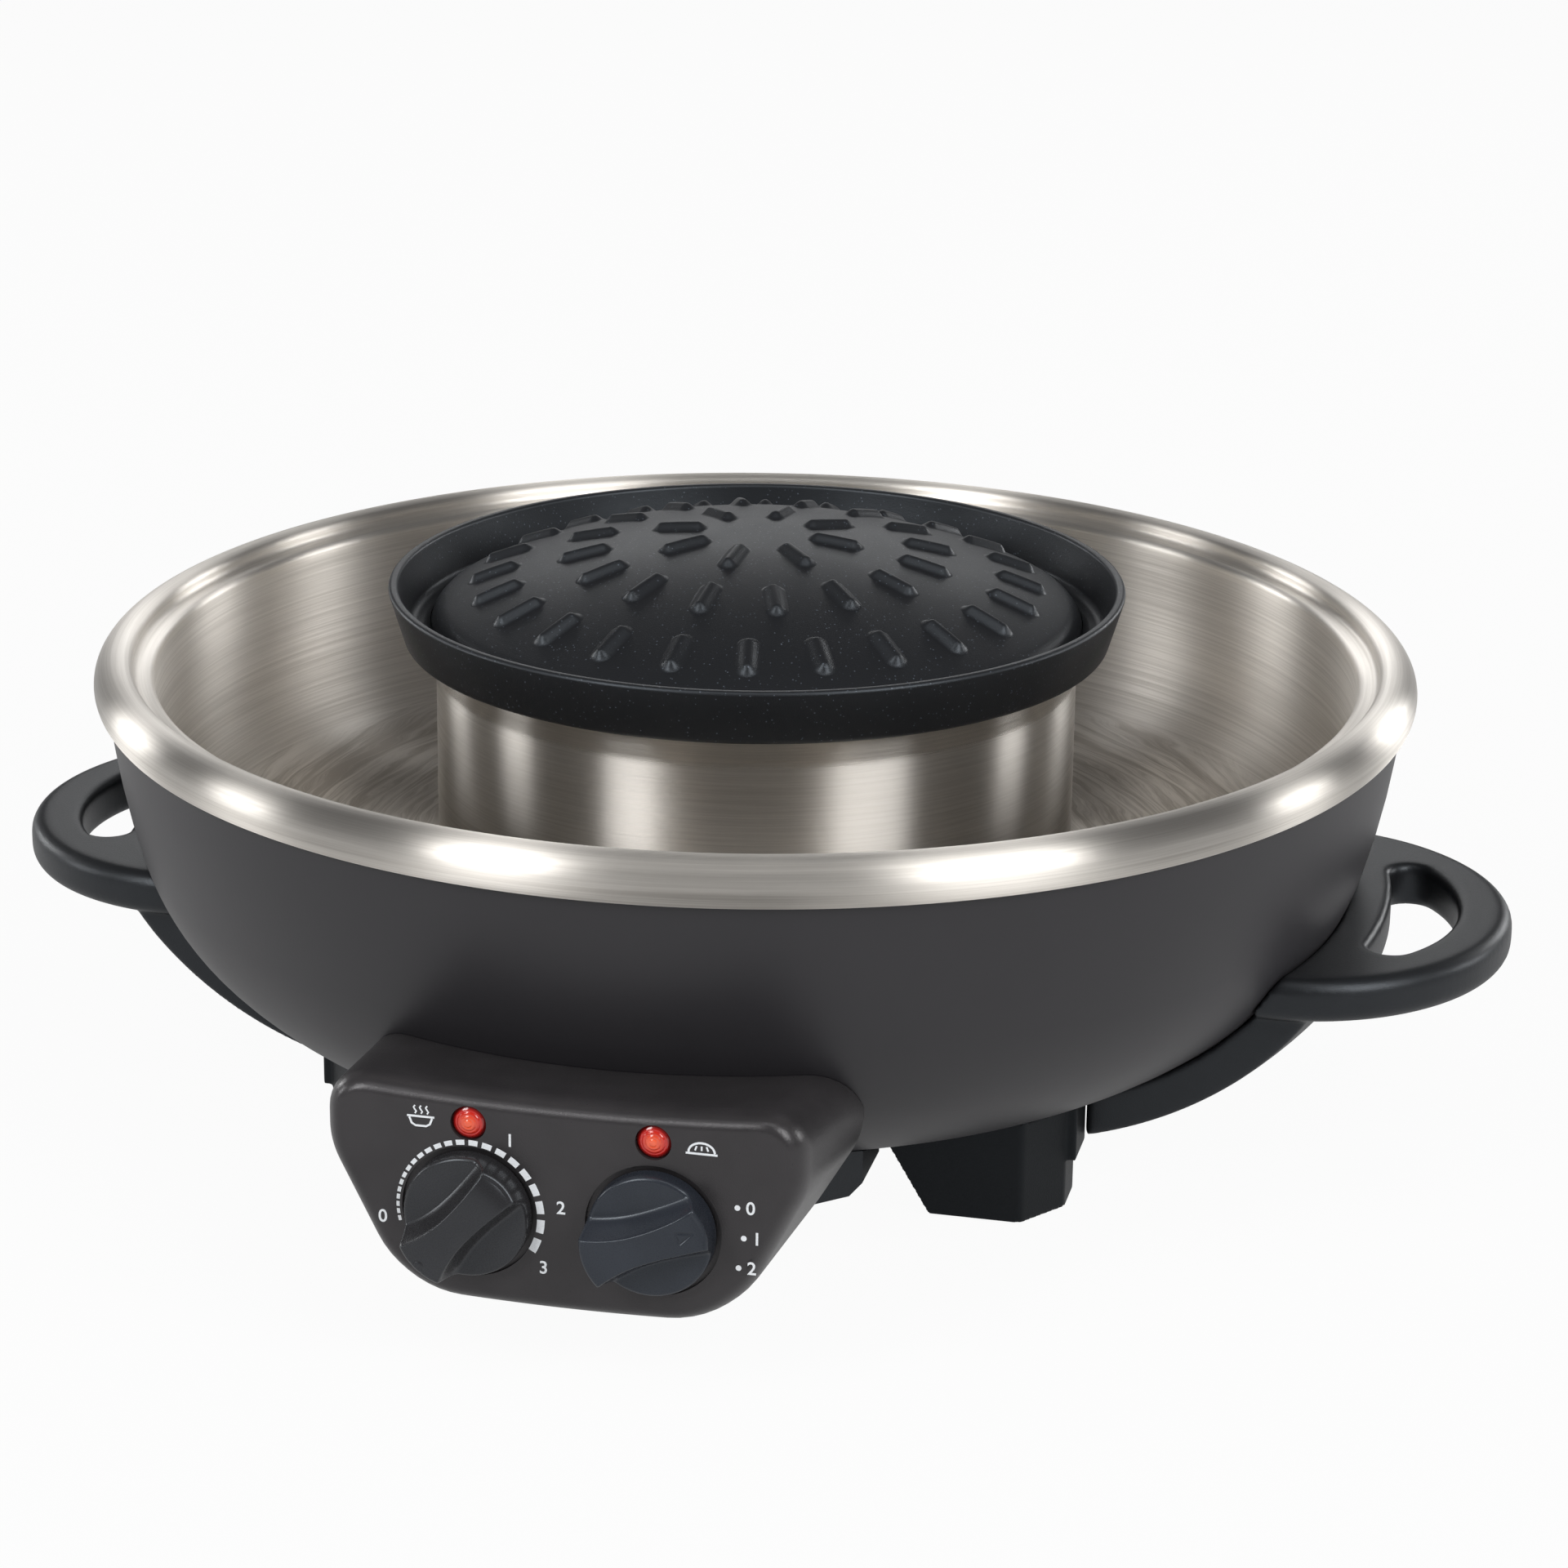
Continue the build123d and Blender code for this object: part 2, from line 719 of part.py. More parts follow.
def wall_screws():
    radius = shell_radius_at(handle_height - screw_head_radius) - shell_wall - part_gap
    screws = []
    for turn, shift in wall_screw_places():
        reach = sqrt(radius ** 2 - (abs(shift) + screw_head_radius) ** 2)
        place = Rot(0, 0, turn) * Pos(reach, shift, handle_height) * Rot(0, -90, 0)
        screws.append(place * screw(screw_length + screw_head_radius))
    return Compound(screws)


def cover_screws():
    low = shell_bottom - part_gap - cover_sheet - part_gap
    screws = [Pos(x, y, low) * Rot(180, 0, 0) * screw(screw_length / 2) for x, y in cover_screw_places()]
    low = neck_bottom + screw_head_height
    return Compound(screws + [Pos(x, y, low) * Rot(180, 0, 0) * screw() for x, y in neck_screw_places()])


def inner_screws():
    floor_top = shell_bottom + shell_wall + 2 * part_gap
    groups = [
        (tower_foot_places(), floor_top + tower_sheet),
        (shield_foot_places(), floor_top + shield_sheet),
        (dish_places(), tower_top + 2 * part_gap + dish_sheet),
    ]
    one = screw(screw_length / 2)
    return Compound([Pos(x, y, top) * one for places, top in groups for x, y in places])


# Handles and legs
def handle_plan():
    loop = Pos(loop_centre_x, 0) * Ellipse(loop_reach, loop_half_width)
    inner_half = Rectangle(2 * loop_reach - overrun, 2 * loop_half_width + overrun)
    loop -= Pos(loop_centre_x - loop_reach, 0) * inner_half
    root = Pos(loop_centre_x - overrun, 0) * Rectangle(2 * overrun, 2 * loop_half_width)
    hole = Pos(loop_centre_x, 0) * Ellipse(loop_reach - grip_width, hole_half_width)
    hole -= Circle(hand_pad_radius)
    hole = fillet(hole.vertices(), hole_round)
    return loop + root, hole


def handle_right():
    plan, hole = handle_plan()
    low = handle_height - handle_thickness / 2
    loop = Pos(0, 0, low) * extrude(plan, handle_thickness)
    loop = fillet(loop.edges().filter_by(GeomType.ELLIPSE), handle_round)
    loop -= Pos(0, 0, low - overrun) * extrude(hole, handle_thickness + 2 * overrun)
    rims = loop.faces().sort_by(Axis.Z)[-1].inner_wires()[0].edges()
    rims += loop.faces().sort_by(Axis.Z)[0].inner_wires()[0].edges()
    loop = fillet(rims, handle_round / 2)
    shell_outside = shell_solid(part_gap)
    cradle = shell_solid(arm_thickness) - shell_outside
    footprint = block((arm_end_x, -arm_outer_y, 0), (rim_radius, arm_outer_y, handle_height))
    tie_end = arm_end_x + arm_tie_width
    footprint -= block((tie_end, -arm_inner_y, -overrun), (2 * rim_radius, arm_inner_y, rim_top))
    body = loop + (cradle & footprint) - shell_outside
    for y in (-handle_screw_y, handle_screw_y):
        body -= wall_bar(0, y, screw_radius + running_gap)
    return body


def handle_left():
    return mirrored(handle_right(), Plane.YZ)


def leg_plan():
    return [
        (leg_inner_x, -leg_front_y), (leg_corner_x, -leg_front_y), (leg_outer_x, -leg_side_y),
        (leg_outer_x, -leg_back_y), (leg_back_inner_x, -leg_back_y),
    ]


def leg_front_right():
    # Wedge with a chamfered outer corner and a gusset that reaches inwards as it rises.
    top = neck_top
    lean = leg_gusset * top / leg_gusset_height
    plan = leg_plan()
    upper = [(leg_inner_x - lean, -leg_front_y)] + plan[1:4] + [(leg_back_inner_x - lean, -leg_back_y)]
    foot = Pos(0, 0, pad_proud) * make_face(Polyline(*plan, close=True))
    head = Pos(0, 0, top) * make_face(Polyline(*upper, close=True))
    leg = loft([foot, head], ruled=True)
    upright = [e for e in leg.edges() if e.bounding_box().size.Z > top / 2]
    leg = fillet([e for e in upright if e.center().X > leg_corner_x - leg_round], leg_round)
    step = arm_end_x - part_gap
    leg += block((leg_outer_x - leg_tab_length, -leg_side_y, leg_tab_height), (step, -leg_back_y, top))
    leg -= shell_solid(part_gap)
    pad_space = offset(make_face(Polyline(*plan, close=True)), -pad_inset + part_gap, kind=Kind.INTERSECTION)
    leg -= extrude(pad_space, pad_height + part_gap)
    low = pad_height + leg_recess
    leg -= drum(screw_radius + running_gap, low, neck_top, leg_screw_x, -leg_screw_y)
    return leg


def foot_pads():
    plan = make_face(Polyline(*leg_plan(), close=True))
    one = extrude(offset(plan, -pad_inset, kind=Kind.INTERSECTION), pad_height)
    other = mirrored(one, Plane.YZ)
    return Compound([one, other, mirrored(one, Plane.XZ), mirrored(other, Plane.XZ)])


# Base cover: vented disc that closes the shell's opening from below
def base_cover():
    top = shell_bottom - part_gap
    edge = cover_radius - cover_dish_radius - cover_bend
    turn = radians(cover_slope)
    slant = (cover_dish_depth - 2 * cover_bend * (1 - cos(turn))) / sin(turn)
    steps = [edge, (cover_bend, -cover_slope), slant, (cover_bend, cover_slope)]
    _, (inner_x, _), _ = walk((cover_radius, top), 180, steps)
    cover = turned(sheet((cover_radius, top), 180, steps + [inner_x], cover_sheet))
    slot = extrude(SlotOverall(cover_slot_length, cover_slot_width), rim_top)
    for i in range(cover_slot_count):
        cover -= Rot(0, 0, 360 * i / cover_slot_count) * Pos(cover_slot_radius, 0) * slot
    for x, y in cover_screw_places():
        cover -= drum(screw_radius + part_gap, 0, rim_top, x, y)
    return cover


# Control box
def box_outline(place, inset=0.0):
    # Outline of the housing, seen from the front; place is 0 at the face and 1 at the rear opening.
    side = box_half_width + box_flare * place
    knee = box_knee_x + box_flare * place
    top = box_top - box_top_fall * place
    right = [(knee, box_knee_height), (side, box_side_height - box_side_fall * place), (side, top)]
    left = [(-x, z) for x, z in reversed(right)]
    shape = make_face([
        ThreePointArc(left[2], (0, box_bottom), right[0]),
        Line(right[0], right[1]),
        Line(right[1], right[2]),
        ThreePointArc(right[2], (0, top - box_top_dip), left[0]),
        Line(left[0], left[1]),
        Line(left[1], left[2]),
    ])
    for index, radius in ((0, box_knee_round), (1, box_side_round), (2, box_top_round)):
        x, z = right[index]
        chosen = [v for v in shape.vertices() if abs(abs(v.X) - x) + abs(v.Y - z) < seat_gap]
        shape = fillet(chosen, radius)
    if inset:
        shape = offset(shape, -inset, kind=Kind.INTERSECTION)
    return Plane.XZ.offset(face_y - box_depth * place) * shape


def box_space(inset, front_cut, edge_round):
    # The housing's outside, or its inside when inset by the wall.
    body = loft([box_outline(0, inset), box_outline(1, inset)], ruled=True)
    if front_cut:
        body -= block((-rim_radius, -face_y - overrun, 0), (rim_radius, -face_y + front_cut, rim_top))
    return fillet(body.faces().sort_by(Axis.Y)[0].edges(), edge_round)


def control_box():
    hollow = box_space(box_wall, box_wall, (face_round - box_wall) / 2)
    hollow = hollow + extrude(box_outline(1, box_wall), -overrun) - shell_solid(part_gap + box_wall)
    outside = box_space(0, 0, face_round) - shell_solid(part_gap)
    box = outside - hollow
    for x in (-box_screw_x, box_screw_x):
        low = (x - box_boss_width / 2, -box_boss_front, box_boss_low)
        high = (x + box_boss_width / 2, -neck_front_y, rim_top)
        box += block(low, high) & outside
        box -= wall_bar(-90, x, screw_radius + running_gap)
    front = -face_y - overrun
    rear = -face_y + box_wall + overrun
    for x in (-control_x, control_x):
        box -= front_rod(knob_recess_radius, front, -face_y + knob_recess_depth, x, knob_height)
        box -= front_rod(bushing_radius + part_gap, front, rear, x, knob_height)
        box -= front_rod(lamp_radius + lamp_hole_gap, front, rear, x, lamp_height)
    box -= side_rod(gland_radius + part_gap, -gland_outer_x - overrun, -gland_inner_x + overrun)
    return box


def neck_plan(inset=0.0):
    right = [
        (neck_waist, -neck_front_y), (neck_waist, -neck_waist_y), (neck_half_width, -neck_shoulder_y),
        (neck_half_width, -neck_rear_y),
    ]
    plan = make_face(Polyline(*right, *[(-x, y) for x, y in reversed(right)], close=True))
    return offset(plan, -inset, kind=Kind.INTERSECTION) if inset else plan


def control_cover():
    # Plate in the housing's rear opening, with a channel for the wires under the shell.
    neck = Pos(0, 0, neck_bottom) * extrude(neck_plan(), neck_top - neck_bottom)
    rear_edges = [e for e in neck.faces().sort_by(Axis.Z)[0].edges() if e.center().Y > -neck_shoulder_y]
    neck = chamfer(rear_edges, neck_chamfer)
    rear_y = -face_y + box_depth
    neck -= block((-rim_radius, -face_y, 0), (rim_radius, rear_y + part_gap, rim_top))
    face = box_outline(1, box_wall + part_gap)
    plate = extrude(face, closing_plate) - shell_solid(2 * part_gap + box_wall) + extrude(face, -overrun)
    channel = Pos(0, 0, neck_bottom + neck_wall) * extrude(neck_plan(neck_wall), neck_top)
    inner = neck_waist - neck_wall
    mouth = block((-inner, -face_y, neck_bottom + neck_wall), (inner, -neck_waist_y, neck_top))
    cover = neck + plate - channel - mouth
    for x, y in neck_screw_places():
        cover += drum(neck_boss_radius, neck_bottom, neck_top, x, y)
        cover -= drum(screw_head_radius + part_gap, 0, neck_bottom + screw_head_height, x, y)
        cover -= drum(screw_radius + part_gap, 0, neck_top, x, y)
    return cover - shell_solid(part_gap)


# Knobs, made with the grip along +X and the front up
def knob(pointer, x):
    body = extrude(Circle(knob_radius), knob_depth, taper=knob_draft_angle)
    body = fillet(body.faces().sort_by(Axis.Z)[-1].edges(), knob_round)
    reach = sqrt(scoop_radius ** 2 - scoop_lift ** 2)
    for side in (-1, 1):
        body -= Pos(0, side * (grip_half_width + reach), knob_depth + scoop_lift) * Sphere(scoop_radius)
    low = (0, -pointer_half_width, knob_recess_depth)
    high = (knob_radius + pointer_reach, pointer_half_width, knob_depth - knob_round)
    tip = block(low, high)
    tip = fillet(tip.faces().sort_by(Axis.X)[-1].edges().filter_by(Axis.Z), knob_round)
    body += tip
    body -= Pos(0, 0, knob_pocket_depth / 2) * Cylinder(knob_pocket_radius, knob_pocket_depth)
    bore = knob_pocket_depth + shaft_in_knob + running_gap
    body -= Pos(0, 0, bore / 2) * Cylinder(shaft_radius + running_gap, bore)
    return knob_plane(face_y - knob_recess_depth + knob_face_gap, x, pointer) * body


def knob_plane(distance, x, pointer=0.0):
    # Plane square to the face at a knob, with its first axis turned to the pointer.
    turn = radians(pointer)
    return Plane(origin=(x, -distance, knob_height), z_dir=(0, -1, 0), x_dir=(cos(turn), 0, sin(turn)))


def knob_shaft(pointer, x):
    tip = face_y - knob_recess_depth + knob_face_gap + knob_pocket_depth + shaft_in_knob
    inner = face_y - box_wall - bearing_depth
    half = (tip - inner) / 2
    low = (-shaft_radius, shaft_radius - shaft_flat, half - shaft_in_knob)
    high = (shaft_radius, shaft_radius + overrun, half + overrun)
    shaft = Cylinder(shaft_radius, tip - inner) - block(low, high)
    return knob_plane((tip + inner) / 2, x, pointer) * shaft


# Controls behind the face: a body with a bushing through the face and two tabs at the rear
def control_base(body, depth, x, spread):
    front = -face_y + box_wall + part_gap
    tip = -face_y + knob_recess_depth - bushing_length
    body += front_rod(bushing_radius, tip, front + part_gap, x, knob_height)
    bore_end = -face_y + box_wall + bearing_depth + part_gap
    body -= front_rod(shaft_radius + running_gap, tip - overrun, bore_end, x, knob_height)
    for side in (-1, 1):
        middle = knob_height + side * spread
        low = (x - terminal_width / 2, front + depth - part_gap, middle - terminal_thickness / 2)
        high = (x + terminal_width / 2, front + depth + terminal_length, middle + terminal_thickness / 2)
        body += block(low, high)
    return body


def thermostat():
    front = -face_y + box_wall + part_gap
    body = block((-control_x - control_half_width, front, knob_height - control_half_width),
                 (-control_x + control_half_width, front + control_depth, knob_height + control_half_width))
    body = chamfer(body.edges().filter_by(Axis.Y), control_chamfer)
    return control_base(body, control_depth, -control_x, control_half_width / 2)


def rotary_switch():
    front = -face_y + box_wall + part_gap
    body = front_rod(switch_half_width, front, front + switch_depth, control_x, knob_height)
    return control_base(body, switch_depth, control_x, switch_half_width / 2)


def panel_nuts():
    nut = extrude(RegularPolygon(nut_radius, 6), nut_height)
    nut -= Cylinder(bushing_radius + running_gap, 2 * bushing_length)
    distance = face_y - knob_recess_depth + running_gap
    return Compound([knob_plane(distance, x) * nut for x in (-control_x, control_x)])


# Signal lamps: domed lens with a flange behind the face, and a lamp body behind it
def lamp_lens(x):
    shoulder = lamp_recess - box_wall - part_gap
    low = shoulder - lamp_flange
    points = [
        (0, low), (lamp_flange_radius, low), (lamp_flange_radius, shoulder),
        (lamp_radius, shoulder), (lamp_radius, 0),
    ]
    edges = [Line((a, 0, b), (c, 0, d)) for (a, b), (c, d) in zip(points, points[1:])]
    dome = (lamp_radius ** 2 + lamp_dome ** 2) / (2 * lamp_dome)
    middle = lamp_radius / 2
    middle_height = lamp_dome - dome + sqrt(dome ** 2 - middle ** 2)
    edges.append(ThreePointArc((lamp_radius, 0, 0), (middle, 0, middle_height), (0, 0, lamp_dome)))
    edges.append(Line((0, 0, lamp_dome), (0, 0, low)))
    place = Plane(origin=(x, -face_y + lamp_recess, lamp_height), z_dir=(0, -1, 0))
    return place * turned(make_face(edges))


def lamp_bodies():
    front = -face_y + box_wall + 2 * part_gap + lamp_flange
    rear = front + lamp_body_length
    lead_end = rear + lamp_lead_length
    lamps = []
    for x in (-control_x, control_x):
        body = front_rod(lamp_body_radius, front, rear, x, lamp_height)
        body = chamfer(body.faces().sort_by(Axis.Y)[-1].edges(), lamp_body_chamfer)
        for side in (-1, 1):
            lead_x = x + side * lamp_body_radius / 2
            body += front_rod(lamp_lead_radius, rear - part_gap, lead_end, lead_x, lamp_height)
        lamps.append(body)
    return Compound(lamps)


# Heaters: bent tubes whose ends turn down at the front
def leg_places(radius, gap_angle, bend):
    # Where the turned-down ends of a ring stand, right and left of the front.
    places = []
    for side in (1, -1):
        x, y, _ = around(side * gap_angle, radius)
        turn = radians(gap_angle)
        places.append((x - side * bend * cos(turn), y - bend * sin(turn)))
    return places


def leg_edges(radius, gap_angle, bend, height, leg_end, side):
    # Straight end and bend of a tube, from the bottom up to the ring.
    end = Vector(*around(side * gap_angle, radius, height))
    turn = radians(gap_angle)
    ahead = Vector(-side * cos(turn), -sin(turn), 0)
    centre = end - Vector(0, 0, bend)
    foot = centre + ahead * bend
    middle = centre + ahead * (bend * sin(radians(45))) + Vector(0, 0, bend * cos(radians(45)))
    return Line((foot.X, foot.Y, leg_end), foot), ThreePointArc(foot, middle, end)


def ring_arc(radius, gap_angle, height):
    # Ring of a tube, from one side of the gap at the front round the back to the other.
    places = [around(turn, radius, height) for turn in (gap_angle, 180, -gap_angle)]
    return ThreePointArc(*places)


def bent_tube(edges, tube, leg_end, pins):
    start = edges[0] @ 0
    body = sweep(Pos(start.X, start.Y, start.Z) * Circle(tube), path=Wire(edges))
    for x, y in pins:
        body += drum(terminal_pin_radius, leg_end - terminal_pin_length, leg_end + part_gap, x, y)
    return body


def hotpot_element():
    # One tube: up, round the outer ring, back round the inner ring, and down again.
    inner, outer = element_rings
    gap = element_gap_angle
    high = element_height
    first, last = [leg_edges(r, gap, element_leg_bend, high, element_leg_end, 1) for r in (outer, inner)]
    turn_middle = Vector(*around(-gap, (inner + outer) / 2, high))
    bulge = Vector(cos(radians(gap)), -sin(radians(gap)), 0) * ((outer - inner) / 2)
    edges = [first[0], first[1], ring_arc(outer, gap, high)]
    edges.append(ThreePointArc(around(-gap, outer, high), turn_middle + bulge, around(-gap, inner, high)))
    edges += [ring_arc(inner, -gap, high), last[1], last[0]]
    return bent_tube(edges, element_radius, element_leg_end, hotpot_leg_places())


def grill_element():
    gap = grill_gap_angle
    high = grill_element_height
    first, last = [leg_edges(grill_ring, gap, grill_leg_bend, high, grill_leg_end, side) for side in (1, -1)]
    edges = [first[0], first[1], ring_arc(grill_ring, gap, high), last[1], last[0]]
    return bent_tube(edges, grill_tube, grill_leg_end, grill_leg_places())


def hotpot_leg_places():
    return [leg_places(r, element_gap_angle, element_leg_bend)[0] for r in element_rings]


def grill_leg_places():
    return leg_places(grill_ring, grill_gap_angle, grill_leg_bend)


def sleeve_hole(tube):
    return tube + 2 * part_gap + sleeve_wall


def sleeves():
    # Insulating bushes round the tube ends where they pass through the sheet.
    rings = []
    shield_places = [(x, y, shield_flat, element_radius) for x, y in hotpot_leg_places()]
    dish_floor = tower_top + part_gap + dish_sheet
    for x, y, top, tube in shield_places + [(x, y, dish_floor, grill_tube) for x, y in grill_leg_places()]:
        outer = tube + part_gap + sleeve_wall
        ring = drum(outer, top - sleeve_length + sleeve_flange, top + part_gap, x, y)
        ring += drum(outer + sleeve_flange_width, top + part_gap, top + part_gap + sleeve_flange, x, y)
        rings.append(ring - drum(tube + part_gap, 0, top + sleeve_length, x, y))
    return Compound(rings)


def cradle(radii, tube, tube_height, carrier_top, strip, width, foot):
    # Formed strip: a shelf with raised ends under the tubes, on a stand with a foot.
    inner = min(radii) - tube - part_gap
    outer = max(radii) + tube + part_gap
    top = tube_height - tube - part_gap
    lip = tube_height - top - cradle_bend
    steps = [lip, (cradle_bend, 90), outer - inner - 2 * cradle_bend, (cradle_bend, 90), lip]
    shelf = sheet((inner, tube_height), -90, steps, -strip)
    low = carrier_top + part_gap
    rise = top - strip / 2 - low - cradle_bend
    middle = (inner + outer) / 2
    stand = sheet((middle - foot, low), 0, [foot - cradle_bend, (cradle_bend, 90), rise], strip)
    return extrude(shelf, width / 2, both=True) + extrude(stand, width / 2, both=True)


def element_cradles():
    form = (cradle_strip, cradle_width, cradle_foot)
    one = cradle(element_rings, element_radius, element_height, shield_flat, *form)
    return Compound([Rot(0, 0, 45 + 360 * i / cradle_count) * one for i in range(cradle_count)])


def grill_clips():
    floor = tower_top + part_gap + dish_sheet
    form = (clip_strip, clip_width, clip_foot)
    one = cradle((grill_ring,), grill_tube, grill_element_height, floor, *form)
    return Compound([Rot(0, 0, 90 + 360 * i / clip_count) * one for i in range(clip_count)])


# Sheet-metal pieces inside the shell
def wire_pass():
    front = -shield_foot_radius - overrun
    return front_rod(wire_pass_radius, front, -tower_radius + 2 * overrun, 0, wire_pass_height)


def heat_shield():
    low = shell_bottom + shell_wall + part_gap
    flat = shield_rim_radius - shield_foot_inner - shield_bend
    steps = [shield_foot_radius - shield_foot_inner - shield_bend, (shield_bend, -90)]
    steps += [shield_flat - low - 2 * shield_bend, (shield_bend, -90)]
    steps += [flat, (shield_bend, shield_rim_slope), shield_rim_length]
    shield = turned(sheet((shield_foot_radius, low), 180, steps, -shield_sheet))
    for x, y in hotpot_leg_places():
        shield -= drum(sleeve_hole(element_radius), element_leg_end, element_height, x, y)
    for x, y in shield_foot_places():
        shield -= drum(screw_radius + part_gap, 0, shield_flat - shield_bend, x, y)
    return shield - wire_pass()


def centre_tower():
    low = shell_bottom + shell_wall + part_gap
    steps = [tower_foot_radius - tower_radius - tower_bend, (tower_bend, -90)]
    steps += [tower_top - tower_sheet - low - 2 * tower_bend, (tower_bend, 90), tower_lip]
    tower = turned(sheet((tower_foot_radius, low), 180, steps, -tower_sheet))
    opening = SlotOverall(tower_slot_length, tower_slot_width)
    slot = Rot(0, 90, 0) * extrude(opening, 4 * tower_bend, both=True)
    step = 360 / tower_slot_count
    for i in range(tower_slot_count):
        tower -= Rot(0, 0, step * i + step / 2) * Pos(tower_radius, 0, tower_slot_middle) * slot
    for x, y in tower_foot_places() + dish_places():
        tower -= drum(screw_radius + part_gap, 0, tower_top + overrun, x, y)
    return tower - wire_pass()


def grill_reflector():
    low = tower_top + part_gap
    steps = [dish_floor_radius - dish_vent_radius, (dish_bend, dish_slope), dish_rim_length]
    dish = turned(sheet((dish_vent_radius, low), 0, steps, dish_sheet))
    for x, y in grill_leg_places():
        dish -= drum(sleeve_hole(grill_tube), tower_top, grill_element_height, x, y)
    for x, y in dish_places():
        dish -= drum(screw_radius + part_gap, 0, tower_top + dish_bend, x, y)
    return dish


# Wiring and inlet
def side_rod(radius, start_x, end_x):
    rod = Rot(0, 90, 0) * Cylinder(radius, abs(end_x - start_x))
    return Pos((start_x + end_x) / 2, -gland_y, gland_height) * rod


def cord_gland():
    # Plastic inlet collar in the housing's left side wall.
    collar = side_rod(gland_radius, -gland_outer_x, -gland_inner_x)
    collar += side_rod(gland_radius + gland_lip_width, -gland_outer_x, -gland_outer_x + gland_lip)
    return collar - side_rod(gland_bore_radius, -gland_outer_x - overrun, -gland_inner_x + overrun)


def shell_grommet():
    low = -grommet_gap - grommet_flange
    high = shell_wall + grommet_inner_gap + grommet_flange
    ring = drum(wire_hole_radius - grommet_gap, low, high)
    ring += drum(grommet_flange_radius, low, -grommet_gap)
    ring += drum(grommet_flange_radius, high - grommet_flange, high)
    return wire_hole() * (ring - drum(loom_radius + part_gap, low - overrun, high + overrun))


def terminal_block():
    low = (-block_width / 2, -block_front, block_low)
    high = (block_width / 2, -block_front + block_depth, block_low + block_height)
    body = block(low, high)
    pitch = block_width / block_hole_count
    rear = -block_front + block_depth + overrun
    for i in range(block_hole_count):
        x = pitch * (i + 1 / 2) - block_width / 2
        body -= front_rod(block_hole_radius, -block_front - overrun, rear, x, block_middle)
    return body


def thermal_fuse():
    # Capsule under the heat shield, in a saddle that hangs from it.
    body = Rot(90, 0, 0) * Cylinder(fuse_radius, fuse_length)
    body = fillet(body.edges(), fuse_radius / 3)
    top = shield_flat - shield_sheet - part_gap - fuse_height
    body += block((-fuse_radius, -fuse_saddle / 2, 0), (fuse_radius, fuse_saddle / 2, top))
    place = Vector(*around(fuse_angle, fuse_distance, fuse_height))
    return Pos(place.X, place.Y, place.Z) * Rot(0, 0, fuse_angle - 90) * body


def swept(edges, radius):
    start = edges[0] @ 0
    return sweep(Plane(origin=start, z_dir=edges[0] % 0) * Circle(radius), path=Wire(edges))


def main_loom():
    # From the terminal block through the grommet, under the shield, and up inside the tower.
    spot = wire_hole()
    heading = 90 + spot.orientation.X
    turn = radians(heading)
    low = neck_bottom + neck_wall + loom_radius + part_gap
    bend_rise = loom_bend * (1 - cos(turn))
    straight = (wire_pass_height - low - 2 * bend_rise) / sin(turn)
    run = (spot.position.Z - low - bend_rise) / sin(turn) * cos(turn)
    bend_start = spot.position.Y - run - loom_bend * sin(turn)
    block_rear = -block_front + block_depth + seat_gap
    bent = [(loom_bend, heading), straight, (loom_bend, -heading)]
    _, (bend_end, _), _ = walk((bend_start, low), 0, bent)
    rise_y = grill_leg_places()[0][1]
    last = rise_y - loom_rise_bend - bend_end
    climb = loom_top - wire_pass_height - loom_rise_bend
    steps = [bend_start - block_rear] + bent + [last, (loom_rise_bend, 90), climb]
    edges, _, _ = walk((block_rear, low), 0, steps)
    return swept([Rot(0, 0, 90) * e for e in edges], loom_radius)


def grill_wires():
    # Two wires that part at the loom's end and run up to the grill heater's pins.
    wires = []
    turn = radians(wire_turn)
    for x, y in grill_leg_places():
        rise = grill_leg_end - terminal_pin_length - seat_gap - loom_top
        side = 1 if x > 0 else -1
        slope = cos(turn) / sin(turn)
        bend = (rise - abs(x) * slope) / (2 * sin(turn) - 2 * (1 - cos(turn)) * slope)
        slant = (abs(x) - 2 * bend * (1 - cos(turn))) / sin(turn)
        steps = [(bend, -side * wire_turn), slant, (bend, side * wire_turn)]
        edges, _, _ = walk((0, loom_top - part_gap), 90, steps)
        wires.append(Pos(0, y, 0) * swept(edges, wire_radius))
    return wires


def hotpot_wires():
    # Two wires from the loom to the undersides of the pan heater's pins.
    wires = []
    level = element_leg_end - terminal_pin_length - seat_gap - wire_radius
    for x, y in hotpot_leg_places():
        points = [(x * across, y + x * back, wire_pass_height) for across, back in wire_fan_shares]
        points += [(x * wire_rise_share, y, level), (x + wire_radius, y, level)]
        wires.append(swept(FilletPolyline(*points, radius=3 * wire_radius).edges(), wire_radius))
    return wires


def control_leads():
    # Leads from the tabs of both controls down to the rear of the terminal block.
    leads = []
    pitch = block_width / block_hole_count
    end_y = -block_front + block_depth + seat_gap
    front = -face_y + box_wall + part_gap + terminal_length + seat_gap
    tabs = [(-1, control_depth, control_half_width / 2), (1, switch_depth, switch_half_width / 2)]
    for side, depth, spread in tabs:
        for level, hole in ((-1, 3 / 2), (1, 1 / 2)):
            tab = Vector(side * control_x, front + depth, knob_height + level * spread)
            end = Vector(side * pitch * hole, end_y, block_middle)
            back = Vector(0, loom_rise_bend, 0)
            path = FilletPolyline(tab, tab + back / 2, end + back, end, radius=2 * lead_radius)
            leads.append(swept(path.edges(), lead_radius))
    return leads


def wiring_loom():
    loom = main_loom()
    for piece in grill_wires() + hotpot_wires():
        loom += piece
    return Compound(loom.solids() + control_leads())


